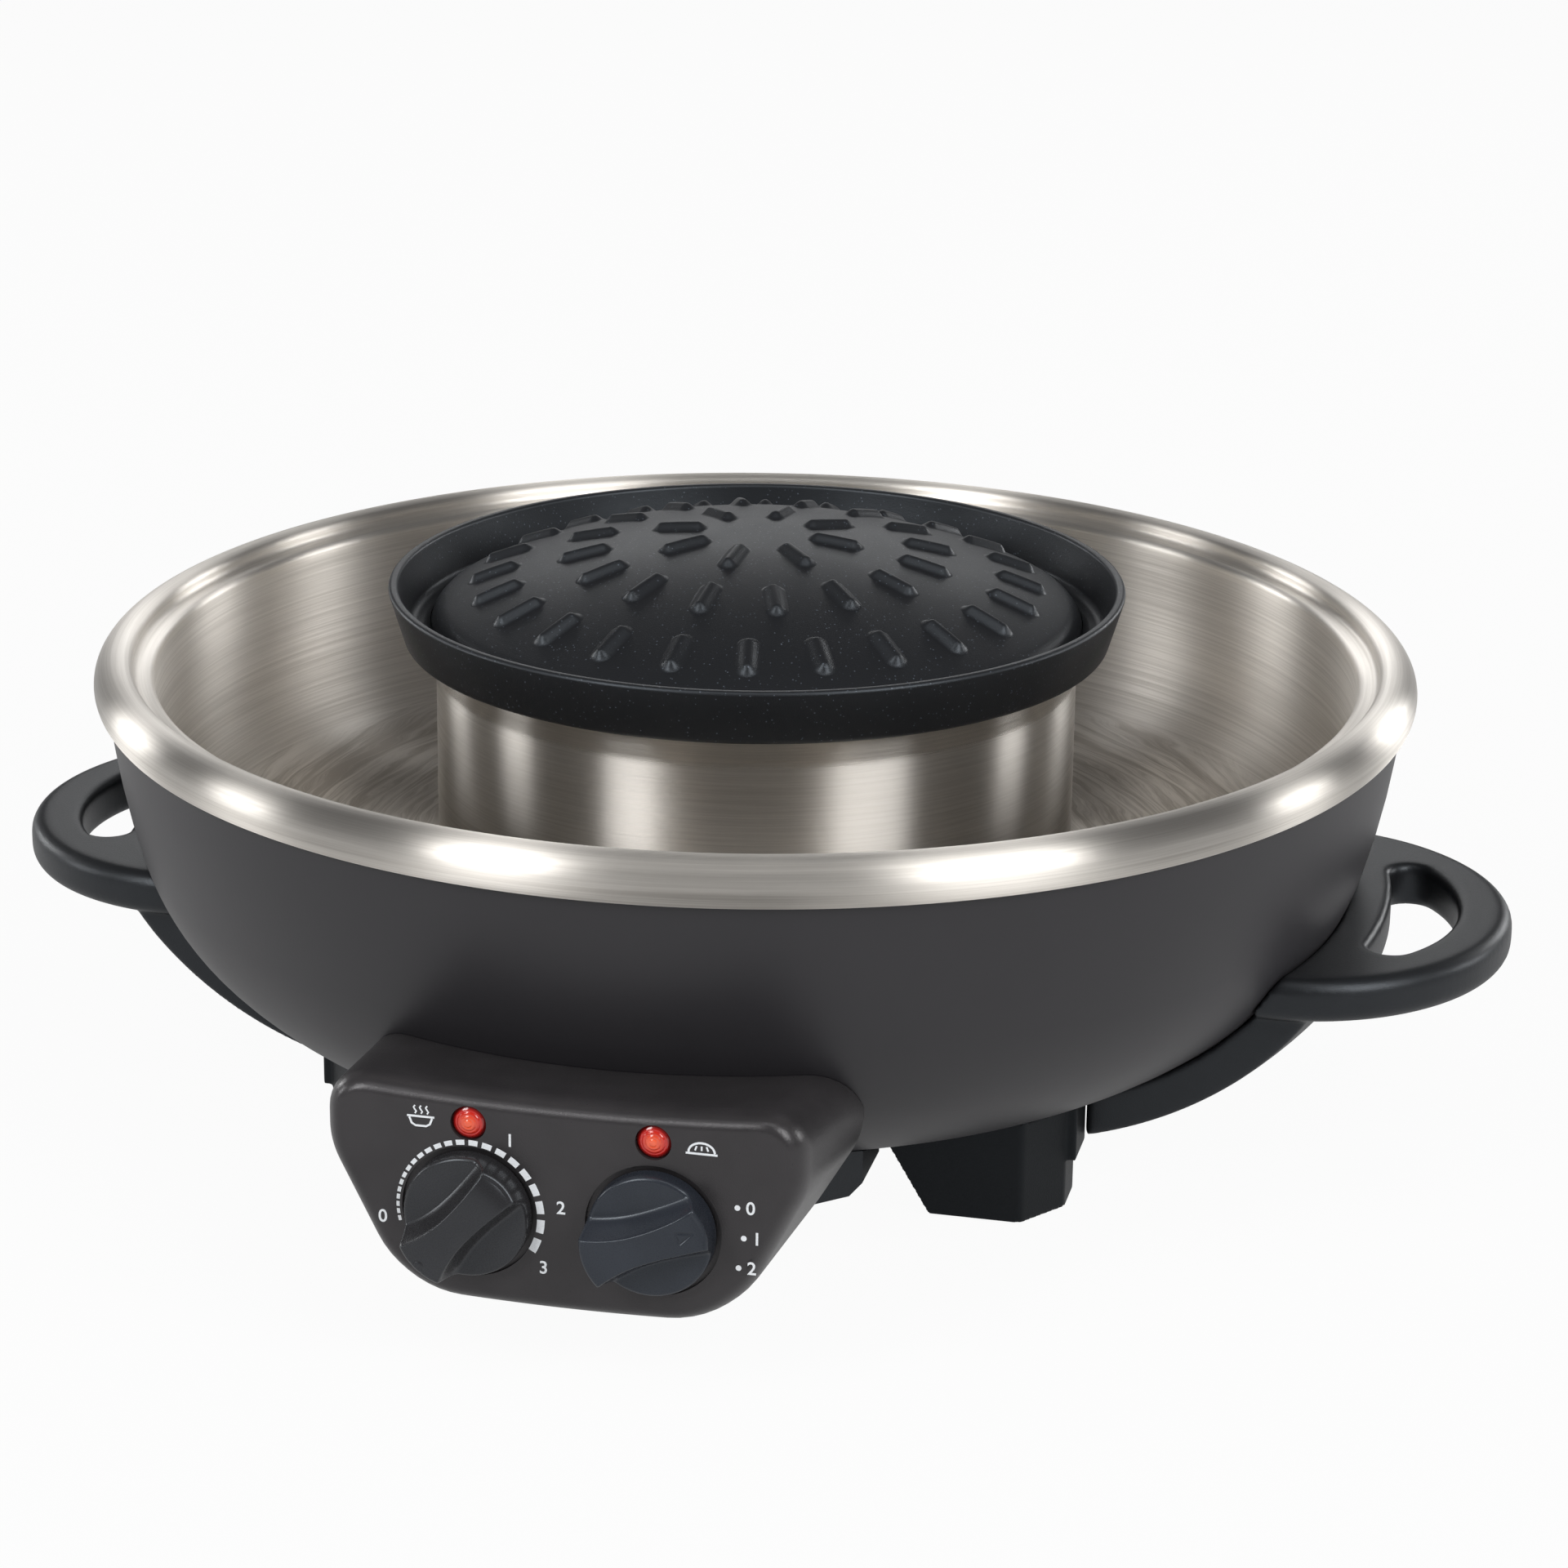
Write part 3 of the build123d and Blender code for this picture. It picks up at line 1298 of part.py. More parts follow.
def all_parts():
    leg = leg_front_right()
    left_leg = mirrored(leg, Plane.YZ)
    return {
        "outer_shell": outer_shell(),
        "base_cover": base_cover(),
        "cover_screws": cover_screws(),
        "leg_front_right": leg,
        "leg_front_left": left_leg,
        "leg_rear_right": mirrored(leg, Plane.XZ),
        "leg_rear_left": mirrored(left_leg, Plane.XZ),
        "foot_pads": foot_pads(),
        "leg_screws": leg_screws(),
        "handle_right": handle_right(),
        "handle_left": handle_left(),
        "wall_screws": wall_screws(),
        "heat_shield": heat_shield(),
        "hotpot_element": hotpot_element(),
        "element_cradles": element_cradles(),
        "element_sleeves": sleeves(),
        "centre_tower": centre_tower(),
        "inner_screws": inner_screws(),
        "grill_reflector": grill_reflector(),
        "grill_element": grill_element(),
        "grill_element_clips": grill_clips(),
        "control_box": control_box(),
        "control_cover": control_cover(),
        "thermostat": thermostat(),
        "rotary_switch": rotary_switch(),
        "panel_nuts": panel_nuts(),
        "lamp_lens_hotpot": lamp_lens(-control_x),
        "lamp_lens_grill": lamp_lens(control_x),
        "lamp_bodies": lamp_bodies(),
        "terminal_block": terminal_block(),
        "thermal_fuse": thermal_fuse(),
        "wiring_loom": wiring_loom(),
        "shell_grommet": shell_grommet(),
        "cord_gland": cord_gland(),
        "hotpot_pan": hotpot_pan(),
        "pan_chimney": pan_chimney(),
        "grill_plate": grill_plate(),
        "plate_rim": plate_rim(),
        "hotpot_knob": knob(hotpot_pointer_angle, -control_x),
        "hotpot_shaft": knob_shaft(hotpot_pointer_angle, -control_x),
        "grill_knob": knob(grill_pointer_angle, control_x),
        "grill_shaft": knob_shaft(grill_pointer_angle, control_x),
    }


if __name__ == "__main__":
    os.makedirs("parts", exist_ok=True)
    for name, shape in all_parts().items():
        export_step(shape, f"parts/{name}.step")
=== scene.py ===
import json
from math import asin, atan2, cos, degrees, hypot, pi, radians, sin, sqrt, tan

import bmesh
import bpy
from mathutils import Matrix, Vector


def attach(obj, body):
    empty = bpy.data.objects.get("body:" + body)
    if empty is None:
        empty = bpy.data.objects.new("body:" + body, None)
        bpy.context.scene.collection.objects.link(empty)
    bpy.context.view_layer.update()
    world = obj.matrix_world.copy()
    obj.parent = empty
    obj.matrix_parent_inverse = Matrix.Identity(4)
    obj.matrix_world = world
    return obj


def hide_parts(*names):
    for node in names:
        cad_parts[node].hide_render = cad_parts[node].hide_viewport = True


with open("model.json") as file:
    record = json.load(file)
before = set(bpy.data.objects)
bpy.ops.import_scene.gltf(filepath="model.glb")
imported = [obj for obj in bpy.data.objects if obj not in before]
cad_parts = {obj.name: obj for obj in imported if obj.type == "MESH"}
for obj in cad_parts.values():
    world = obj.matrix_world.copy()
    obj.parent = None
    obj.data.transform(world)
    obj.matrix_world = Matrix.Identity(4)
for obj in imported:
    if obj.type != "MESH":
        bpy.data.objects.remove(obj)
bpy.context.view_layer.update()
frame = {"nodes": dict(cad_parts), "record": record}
mm = 0.001
print("frame loaded:", len(frame["nodes"]), "nodes")


# Shader maths: a wrapped socket that takes part in Python expressions
class Value:
    def __init__(self, finish, socket):
        self.finish = finish
        self.socket = socket

    def calc(self, operation, first, second=0.0):
        return self.finish.add("ShaderNodeMath", {"operation": operation}, {0: first, 1: second})

    def __add__(self, other):
        return self.calc("ADD", self, other)

    __radd__ = __add__

    def __sub__(self, other):
        return self.calc("SUBTRACT", self, other)

    def __rsub__(self, other):
        return self.calc("SUBTRACT", other, self)

    def __mul__(self, other):
        return self.calc("MULTIPLY", self, other)

    __rmul__ = __mul__

    def atLeast(self, other):
        return self.calc("MAXIMUM", self, other)

    def atMost(self, other):
        return self.calc("MINIMUM", self, other)

    def root(self):
        return self.calc("SQRT", self)

    def size(self):
        return self.calc("ABSOLUTE", self)

    def sine(self):
        return self.calc("SINE", self)

    def cosine(self):
        return self.calc("COSINE", self)

    def angleTo(self, other):
        return self.calc("ARCTAN2", self, other)

    def ramp(self, low, high):
        # 0 below low, 1 above high, eased between them
        return self.finish.add("ShaderNodeMapRange", {"interpolation_type": "SMOOTHSTEP"},
                               {"Value": self, "From Min": low, "From Max": high})

    def swing(self, amount):
        # What a noise adds or takes away round its middle
        return (self - 0.5) * amount


class Finish:
    # One material: its node tree and its main shader
    def __init__(self, name, **settings):
        self.material = bpy.data.materials.new(name)
        self.material.use_nodes = True
        self.tree = self.material.node_tree
        self.shader = self.tree.nodes["Principled BSDF"]
        self.feed(**settings)

    def put(self, socket, value):
        if isinstance(value, Value):
            self.tree.links.new(value.socket, socket)
        elif socket.type == "RGBA":
            socket.default_value = (*value, 1.0)
        else:
            socket.default_value = value

    def add(self, kind, settings=None, inputs=None, output=0):
        node = self.tree.nodes.new(kind)
        for name, value in (settings or {}).items():
            setattr(node, name, value)
        for name, value in (inputs or {}).items():
            self.put(node.inputs[name], value)
        return Value(self, node.outputs[output])

    def place(self):
        # Object position in millimetres as a vector
        where = self.add("ShaderNodeTexCoord", output=3)
        return self.add("ShaderNodeVectorMath", {"operation": "SCALE"}, {0: where, "Scale": 1 / mm})

    def split(self, vector):
        node = self.add("ShaderNodeSeparateXYZ", inputs={0: vector}).socket.node
        return [Value(self, output) for output in node.outputs]

    def join(self, x, y, z):
        return self.add("ShaderNodeCombineXYZ", inputs={0: x, 1: y, 2: z})

    def noise(self, vector, scale=1.0, detail=2.0, roughness=0.5, extra=None):
        # extra is a fourth coordinate
        settings = {"noise_dimensions": "4D" if extra is not None else "3D"}
        inputs = {"Vector": vector, "Scale": scale, "Detail": detail, "Roughness": roughness}
        if extra is not None:
            inputs["W"] = extra
        return self.add("ShaderNodeTexNoise", settings, inputs)

    def cells(self, vector, scale):
        return self.add("ShaderNodeTexVoronoi", inputs={"Vector": vector, "Scale": scale})

    def blend(self, share, first, second):
        # A Mix node's sockets 0, 6 and 7 are its factor and its two colours
        inputs = {0: share, 6: first, 7: second}
        return self.add("ShaderNodeMix", {"data_type": "RGBA"}, inputs, output=2)

    def bump(self, height, depth, strength=1.0):
        # depth in millimetres
        inputs = {"Height": height, "Distance": depth * mm, "Strength": strength}
        return self.add("ShaderNodeBump", inputs=inputs)

    def seenShare(self, direct, mirrored):
        # direct for the camera's own rays, mirrored for what metal and gloss reflect
        paths = self.add("ShaderNodeLightPath").socket.node
        camera, gloss, clear = [Value(self, paths.outputs[f"Is {kind} Ray"])
                                for kind in ("Camera", "Glossy", "Transmission")]
        return (camera * direct).atLeast(gloss.atLeast(clear) * mirrored)

    def show(self, value, output):
        self.tree.links.new(value.socket, self.tree.nodes[output].inputs["Surface"])

    def feed(self, **inputs):
        for name, value in inputs.items():
            self.put(self.shader.inputs[name.replace("_", " ")], value)
        return self.material


class Backdrop(Finish):
    # The world's node tree, worked on in the same way
    def __init__(self, world):
        self.tree = world.node_tree
        self.tree.nodes.remove(self.tree.nodes["Background"])


# Finishes: scales are in cells per millimetre, depths in millimetres; a shine changes the roughness
enamelLook = dict(
    colour=(0.0265, 0.0252, 0.0285), dark=(0.022, 0.021, 0.024), roughness=0.43,
    cloudScale=0.03, cloudShine=0.06, peelScale=0.9, peelDepth=0.012, dustScale=4.0, dustShine=0.05)


def shellEnamel():
    look = enamelLook
    finish = Finish("shellEnamel")
    place = finish.place()
    cloud = finish.noise(place, look["cloudScale"], detail=3)
    peel = finish.noise(place, look["peelScale"])
    dust = finish.noise(place, look["dustScale"], detail=1)
    return finish.feed(
        Base_Color=finish.blend(cloud, look["dark"], look["colour"]),
        Roughness=look["roughness"] + cloud.swing(look["cloudShine"]) + dust.swing(look["dustShine"]),
        Normal=finish.bump(peel, look["peelDepth"]))


steelLook = dict(
    light=(0.8, 0.765, 0.715), dark=(0.5, 0.465, 0.42), roughness=0.5,
    lineScale=1.3, lineTurns=1.6, lineDepth=0.024, lineTone=0.4, lineLow=0.36, lineHigh=0.64, lineShine=0.2,
    floorTone=0.6, floorDepth=6.0, floorLow=0.03, rimTone=0.1,
    broadScale=0.1, broadTurns=2.0, broadRise=0.04, broadTone=0.2, broadShine=0.12,
    swirlScale=0.3, swirlTurns=1.4, swirlLobes=2.0, swirlStart=1.1, swirlReach=12.0, swirlWander=16.0,
    rimBottom=127.0, floorTop=70.5, chimney=96.0, fade=3.0, floorFade=9.0,
    smoothChimney=0.17, smoothRim=0.12, smoothFloor=0.1)


def brushedSteel():
    # Lines run round the axis; on the trough's floor they cross in off-centre rings
    look = steelLook
    finish = Finish("brushedSteel", Metallic=1.0, Anisotropic=1.0, Anisotropic_Rotation=0.25)
    x, y, z = finish.split(finish.place())
    radius = (x * x + y * y).root()
    turn = y.angleTo(x)
    east = turn.cosine()
    north = turn.sine()
    rings = finish.join(radius * look["lineScale"], east * look["lineTurns"], north * look["lineTurns"])
    fine = finish.noise(rings, detail=5, roughness=0.75, extra=z * look["lineScale"])
    wide = finish.join(radius * look["broadScale"], east * look["broadTurns"], north * look["broadTurns"])
    broad = finish.noise(wide, extra=z * look["broadRise"])
    sway = (turn * look["swirlLobes"] + look["swirlStart"]).sine() * look["swirlReach"]
    bent = (radius + sway + broad * look["swirlWander"]) * look["swirlScale"]
    swirls = finish.join(bent, east * look["swirlTurns"], north * look["swirlTurns"])
    arcs = finish.noise(swirls, detail=5, roughness=0.7)
    onFloor = 1.0 - z.ramp(look["floorTop"], look["floorTop"] + look["floorFade"])
    onRim = z.ramp(look["rimBottom"], look["rimBottom"] + look["fade"])
    onChimney = 1.0 - radius.ramp(look["chimney"], look["chimney"] + look["fade"])
    lines = fine * (1.0 - onFloor) + arcs * onFloor
    shade = look["lineTone"] + onFloor * look["floorTone"] - onRim * look["rimTone"]
    low = look["lineLow"] + onFloor * look["floorLow"]
    tone = lines.ramp(low, look["lineHigh"]) * shade + broad * look["broadTone"]
    smoother = onChimney * look["smoothChimney"] + onRim * look["smoothRim"] + onFloor * look["smoothFloor"]
    return finish.feed(
        Base_Color=finish.blend(tone, look["light"], look["dark"]),
        Roughness=(look["roughness"] + lines.swing(look["lineShine"]) + broad.swing(look["broadShine"])
                   - smoother),
        Normal=finish.bump(lines * (1.0 + onFloor * look["floorDepth"]), look["lineDepth"], strength=0.5))


castingLook = dict(
    colour=(0.0085, 0.0086, 0.0098), speck=(0.12, 0.14, 0.17), tint=(0.82, 0.91, 1.0), roughness=0.42,
    specular=0.55, speckScale=0.85, speckReach=(0.1, 0.24), speckChoice=(0.52, 0.62), speckShare=0.75,
    speckShine=0.15, hazeScale=0.05, hazeShine=0.08, grainScale=2.6, grainDepth=0.06, grainShine=0.1)


def nonStickCoating():
    # Dark coating with fine grain and sparse paler specks
    look = castingLook
    finish = Finish("nonStickCoating", Specular_IOR_Level=look["specular"], Specular_Tint=look["tint"])
    place = finish.place()
    specks = finish.cells(place, look["speckScale"])
    choice = finish.noise(place, look["speckScale"], detail=0)
    speck = (1.0 - specks.ramp(*look["speckReach"])) * choice.ramp(*look["speckChoice"])
    haze = finish.noise(place, look["hazeScale"])
    grain = finish.noise(place, look["grainScale"])
    return finish.feed(
        Base_Color=finish.blend(speck * look["speckShare"], look["colour"], look["speck"]),
        Roughness=(look["roughness"] + haze.swing(look["hazeShine"]) + grain.swing(look["grainShine"])
                   - speck * look["speckShine"]),
        Normal=finish.bump(grain, look["grainDepth"], strength=0.7))


mouldingLook = dict(
    tint=(0.86, 0.93, 1.0), paleFactor=1.25, cloudScale=0.06, cloudRange=(0.3, 0.7),
    grainScale=2.2, grainDepth=0.05, grainShine=0.16)


def mouldedPlastic(name, colour, roughness, **changes):
    # Spark-textured moulding: fine even grain and slight cloudiness
    look = {**mouldingLook, **changes}
    finish = Finish(name, Specular_Tint=look["tint"])
    place = finish.place()
    grain = finish.noise(place, look["grainScale"], roughness=0.6)
    cloud = finish.noise(place, look["cloudScale"])
    pale = tuple(c * look["paleFactor"] for c in colour)
    return finish.feed(
        Base_Color=finish.blend(cloud.ramp(*look["cloudRange"]), colour, pale),
        Roughness=roughness + grain.swing(look["grainShine"]),
        Normal=finish.bump(grain, look["grainDepth"], strength=0.8))


sheetLook = dict(
    darkFactor=0.82, patchScale=0.35, patchRange=(0.1, 0.9),
    rollScale=(0.05, 3.0, 3.0), rollDepth=0.008, rollShine=0.12)


def sheetMetal(name, colour, roughness, **changes):
    # Rolled sheet with faint spangle and rolling lines
    look = {**sheetLook, **changes}
    finish = Finish(name, Metallic=1.0)
    place = finish.place()
    spangle = finish.cells(place, look["patchScale"])
    along = finish.add("ShaderNodeVectorMath", {"operation": "MULTIPLY"}, {0: place, 1: look["rollScale"]})
    rolled = finish.noise(along)
    dark = tuple(c * look["darkFactor"] for c in colour)
    return finish.feed(
        Base_Color=finish.blend(spangle.ramp(*look["patchRange"]), colour, dark),
        Roughness=roughness + rolled.swing(look["rollShine"]),
        Normal=finish.bump(rolled, look["rollDepth"], strength=0.5))


heaterLook = dict(
    grey=(0.05, 0.05, 0.054), brown=(0.11, 0.085, 0.07), metallic=0.6, roughness=0.5,
    mottleScale=0.12, mottleRange=(0.35, 0.65), grainScale=2.5, grainDepth=0.02, grainShine=0.2)


def heaterSheath():
    # Dark oxidised tube with browner patches
    look = heaterLook
    finish = Finish("heaterSheath", Metallic=look["metallic"])
    place = finish.place()
    mottle = finish.noise(place, look["mottleScale"], detail=4, roughness=0.6)
    grain = finish.noise(place, look["grainScale"])
    return finish.feed(
        Base_Color=finish.blend(mottle.ramp(*look["mottleRange"]), look["grey"], look["brown"]),
        Roughness=look["roughness"] + grain.swing(look["grainShine"]),
        Normal=finish.bump(grain, look["grainDepth"]))


insulatorLook = dict(
    dark=(0.62, 0.6, 0.54), light=(0.76, 0.74, 0.68), roughness=0.62,
    grainScale=1.8, grainRange=(0.35, 0.65), grainDepth=0.03, grainShine=0.1)


def insulatorBody():
    look = insulatorLook
    finish = Finish("insulatorBody")
    grain = finish.noise(finish.place(), look["grainScale"], detail=3)
    return finish.feed(
        Base_Color=finish.blend(grain.ramp(*look["grainRange"]), look["dark"], look["light"]),
        Roughness=look["roughness"] + grain.swing(look["grainShine"]),
        Normal=finish.bump(grain, look["grainDepth"]))


sleeveLook = dict(
    dark=(0.5, 0.47, 0.38), light=(0.72, 0.69, 0.6), roughness=0.8,
    weaveScale=1.4, weaveTone=0.5, weaveRise=0.6, weaveDepth=0.1, fuzzScale=1.5, fuzzTone=0.5, fuzzShine=0.1)


def wovenSleeve():
    look = sleeveLook
    finish = Finish("wovenSleeve")
    place = finish.place()
    squares = {"Vector": place, "Scale": look["weaveScale"]}
    weave = finish.add("ShaderNodeTexChecker", inputs=squares, output=1)
    fuzz = finish.noise(place, look["fuzzScale"], detail=3)
    tone = weave * look["weaveTone"] + fuzz * look["fuzzTone"]
    return finish.feed(
        Base_Color=finish.blend(tone, look["dark"], look["light"]),
        Roughness=look["roughness"] + fuzz.swing(look["fuzzShine"]),
        Normal=finish.bump(weave * look["weaveRise"] + fuzz, look["weaveDepth"]))


# Control panel: how far its knobs and lamps are from the middle, over the table and forward
panel = dict(apart=24.1, knobHeight=45.1, lampHeight=69.2, face=210.0)
# The lens's edge colour and its reach are painted shadow from the hole round the lens
lampLook = dict(
    red=(0.5, 0.008, 0.004), amber=(0.85, 0.12, 0.045), edge=(0.12, 0.002, 0.002), glow=0.12, roughness=0.12,
    coat=0.8, coatRoughness=0.06, heat=0.6, cloudHeat=0.6, cloudScale=0.9, cloudShine=0.1,
    amberReach=(0.4, 3.4), holeShadowReach=(3.3, 4.3))


def lampRed():
    # Moulded lens with an amber middle and a darker edge; the darker edge is painted shadow from the hole the
    # lens sits in
    look = lampLook
    finish = Finish("lampRed", IOR=1.49, Emission_Strength=look["glow"], Coat_Weight=look["coat"],
                    Coat_Roughness=look["coatRoughness"])
    place = finish.place()
    x, _, z = finish.split(place)
    across = x.size() - panel["apart"]
    high = z - panel["lampHeight"]
    reach = (across * across + high * high).root()
    cloud = finish.noise(place, look["cloudScale"], detail=3)
    heat = (1.0 - reach.ramp(*look["amberReach"])) * (look["heat"] + cloud * look["cloudHeat"])
    tone = finish.blend(heat.atMost(1.0), look["red"], look["amber"])
    # Painted shadow: the colour darkens to the edge colour near the lens's rim, where the hole round it
    # shades it
    colour = finish.blend(reach.ramp(*look["holeShadowReach"]), tone, look["edge"])
    return finish.feed(
        Base_Color=colour, Emission_Color=colour, Roughness=look["roughness"] + cloud * look["cloudShine"])


printLook = dict(
    worn=(0.74, 0.77, 0.8), clean=(0.88, 0.91, 0.94), roughness=0.5,
    wearScale=3.0, wearRange=(0.25, 0.5), wearShine=0.1)


def dialPrint():
    look = printLook
    finish = Finish("dialPrint")
    wear = finish.noise(finish.place(), look["wearScale"], detail=3)
    return finish.feed(
        Base_Color=finish.blend(wear.ramp(*look["wearRange"]), look["worn"], look["clean"]),
        Roughness=look["roughness"] + wear.swing(look["wearShine"]))


looks = {
    "shell_paint": shellEnamel(),
    "pan_steel": brushedSteel(),
    "plate_coating": nonStickCoating(),
    "galvanised_sheet": sheetMetal("galvanisedSheet", (0.5, 0.5, 0.49), 0.38),
    "bright_sheet": sheetMetal("brightSheet", (0.72, 0.72, 0.71), 0.24, patchScale=0.1),
    "element_sheath": heaterSheath(),
    "insulator": insulatorBody(),
    "screw_steel": sheetMetal("screwSteel", (0.5, 0.49, 0.47), 0.3, patchScale=1.2),
    "black_plastic": mouldedPlastic("blackPlastic", (0.0085, 0.0088, 0.01), 0.4),
    "housing": mouldedPlastic("housingPlastic", (0.025, 0.0232, 0.0245), 0.31, tint=(1.0, 0.98, 1.0)),
    # The legs take a darker copy of the black moulding: painted shade, as they stand in the shadow under the
    # bowl
    "legs": mouldedPlastic("legPlasticPaintedShade", (0.0035, 0.0038, 0.0045), 0.5, tint=(0.5, 0.55, 0.6)),
    "black_rubber": mouldedPlastic("blackRubber", (0.012, 0.012, 0.012), 0.7, grainScale=1.2),
    "knob_black": mouldedPlastic("knobBlack", (0.021, 0.0205, 0.022), 0.28, grainScale=3.0, grainDepth=0.02),
    "knob_grey": mouldedPlastic("knobGrey", (0.019, 0.022, 0.029), 0.29, grainScale=3.0, grainDepth=0.02),
    "lamp_lens": lampRed(),
    "control_body": mouldedPlastic("controlBody", (0.05, 0.042, 0.034), 0.4),
    "wire_sleeve": wovenSleeve(),
    "print": dialPrint(),
}
slotOf = {entry["node"]: entry["material_slot"] for entry in frame["record"]["subparts"]}
for name, node in frame["nodes"].items():
    node.data.materials.clear()
    node.data.materials.append(looks[slotOf[name]])
print("finishes made:", len(looks))


# Mesh helpers, lengths in millimetres
def arc(first, last, count=7):
    # Even angles from first to last, given in degrees and returned in radians
    return [radians(first + (last - first) * index / count) for index in range(count + 1)]


def linked(name, data):
    # A new object in the scene
    piece = bpy.data.objects.new(name, data)
    bpy.context.scene.collection.objects.link(piece)
    return piece


def makeObject(name, points, faces, look, sharpAngle=35):
    mesh = bpy.data.meshes.new(name)
    mesh.from_pydata([tuple(c * mm for c in p) for p in points], [], faces)
    mesh.validate()
    mesh.shade_smooth()
    mesh.set_sharp_from_angle(angle=radians(sharpAngle))
    mesh.materials.append(looks[look])
    return linked(name, mesh)


def closedObject(name, points, faces, look="black_plastic"):
    # A piece whose faces are all turned outwards
    piece = makeObject(name, points, faces, look)
    work = bmesh.new()
    work.from_mesh(piece.data)
    bmesh.ops.recalc_face_normals(work, faces=work.faces)
    work.to_mesh(piece.data)
    work.free()
    return piece


def band(start, count):
    # Faces between a ring of points and the ring that follows it
    return [(start + i, start + (i + 1) % count, start + (i + 1) % count + count, start + i + count)
            for i in range(count)]


def dress(piece, body, slot, *nodes):
    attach(piece, body)
    if nodes:
        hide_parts(*nodes)


def walk(start, heading, steps, arcStep=6):
    # Points of a path; a step is a length or a (radius, turn) bend, left when the turn is positive
    x, z = start
    points = [(x, z)]
    for step in steps:
        if not isinstance(step, tuple):
            x += step * cos(radians(heading))
            z += step * sin(radians(heading))
            points.append((x, z))
            continue
        radius, turn = step
        reach = radius if turn > 0 else -radius
        centreX = x - reach * sin(radians(heading))
        centreZ = z + reach * cos(radians(heading))
        count = max(3, round(abs(turn) / arcStep))
        for angle in arc(heading, heading + turn, count)[1:]:
            points.append((centreX + reach * sin(angle), centreZ - reach * cos(angle)))
        heading += turn
        x, z = points[-1]
    return points


def beside(path, distance):
    # The path moved to its left by a distance
    moved = []
    for index, (x, z) in enumerate(path):
        before = path[max(index - 1, 0)]
        after = path[min(index + 1, len(path) - 1)]
        runX = after[0] - before[0]
        runZ = after[1] - before[1]
        length = hypot(runX, runZ)
        moved.append((x - distance * runZ / length, z + distance * runX / length))
    return moved


def turned(name, profile, look, segments, closed=True):
    # Spins a profile of (radius, height) points round the Z axis; closed joins its last point to its first
    points, faces, rings = [], [], []
    for radius, height in profile:
        if radius < 0.0001:
            rings.append([len(points)] * segments)
            points.append((0.0, 0.0, height))
            continue
        rings.append(list(range(len(points), len(points) + segments)))
        for index in range(segments):
            angle = 2 * pi * index / segments
            points.append((radius * cos(angle), radius * sin(angle), height))
    pairs = list(zip(rings, rings[1:]))
    if closed:
        pairs.append((rings[-1], rings[0]))
    for first, second in pairs:
        for index in range(segments):
            after = (index + 1) % segments
            corners = [first[index], first[after], second[after], second[index]]
            kept = [c for i, c in enumerate(corners) if c not in corners[:i]]
            if len(kept) > 2:
                faces.append(kept)
    return closedObject(name, points, faces, look)


def bakedMesh(piece):
    # The mesh that the piece's modifiers or text give
    bpy.context.view_layer.update()
    ready = piece.evaluated_get(bpy.context.evaluated_depsgraph_get())
    return bpy.data.meshes.new_from_object(ready)


def bake(piece):
    mesh = bakedMesh(piece)
    piece.modifiers.clear()
    piece.data = mesh


# Outer shell: a beaded edge, a tapered wall and a bowl that rounds in three bends
shellShape = dict(
    radius=186.2, wall=1.0, bead=1.4, rollX=182.8, rollZ=128.8, roll=7.2, panWall=0.9, seatGap=0.3,
    collarBend=20.0, slope=4.9, bends=((227.0, 11.2), (68.0, 26.3), (91.0, 47.6)), bottom=24.5, opening=60.0,
    segments=288)


def bowlPath():
    # Outside of the bowl, from its bead to its bottom
    shape = shellShape
    beadX = shape["radius"] - shape["bead"]
    reach = shape["roll"] - shape["panWall"] - shape["bead"] - shape["seatGap"]
    beadZ = shape["rollZ"] + sqrt(reach ** 2 - (beadX - shape["rollX"]) ** 2)
    collar = beadZ - shape["rollZ"] + shape["roll"] / 2
    start = (beadX - shape["bead"], beadZ)
    upper = [(shape["bead"], -180), collar, (shape["collarBend"], -shape["slope"])]
    bends = [(radius, -turn) for radius, turn in shape["bends"]]
    low = walk(start, 90, upper + bends)[-1][1]
    taper = (low - shape["bottom"]) / cos(radians(shape["slope"]))
    return walk(start, 90, upper + [taper] + bends, 3)


def makeShell():
    shape = shellShape
    outside = bowlPath() + [(shape["opening"], shape["bottom"])]
    inside = beside(outside, -shape["wall"])
    shell = turned("bowlShell", outside + inside[::-1], "shell_paint", shape["segments"])
    dress(shell, "base", "shell_paint", "outer_shell")


# Pan: rolled rim, lid ledge, trough and chimney in one profile
panShape = dict(
    rimRadius=190.0, rimTop=136.0, roll=7.2, rollStart=-50.0, rollWrap=160.0, lipBend=2.0, groove=1.5,
    ledge=131.4, ledgeBend=2.0, well=173.0, bend=26.0, floor=69.0, chimney=92.5, foot=6.0, top=137.2,
    lipEdge=1.5, lip=3.5, wall=0.9, segments=320)


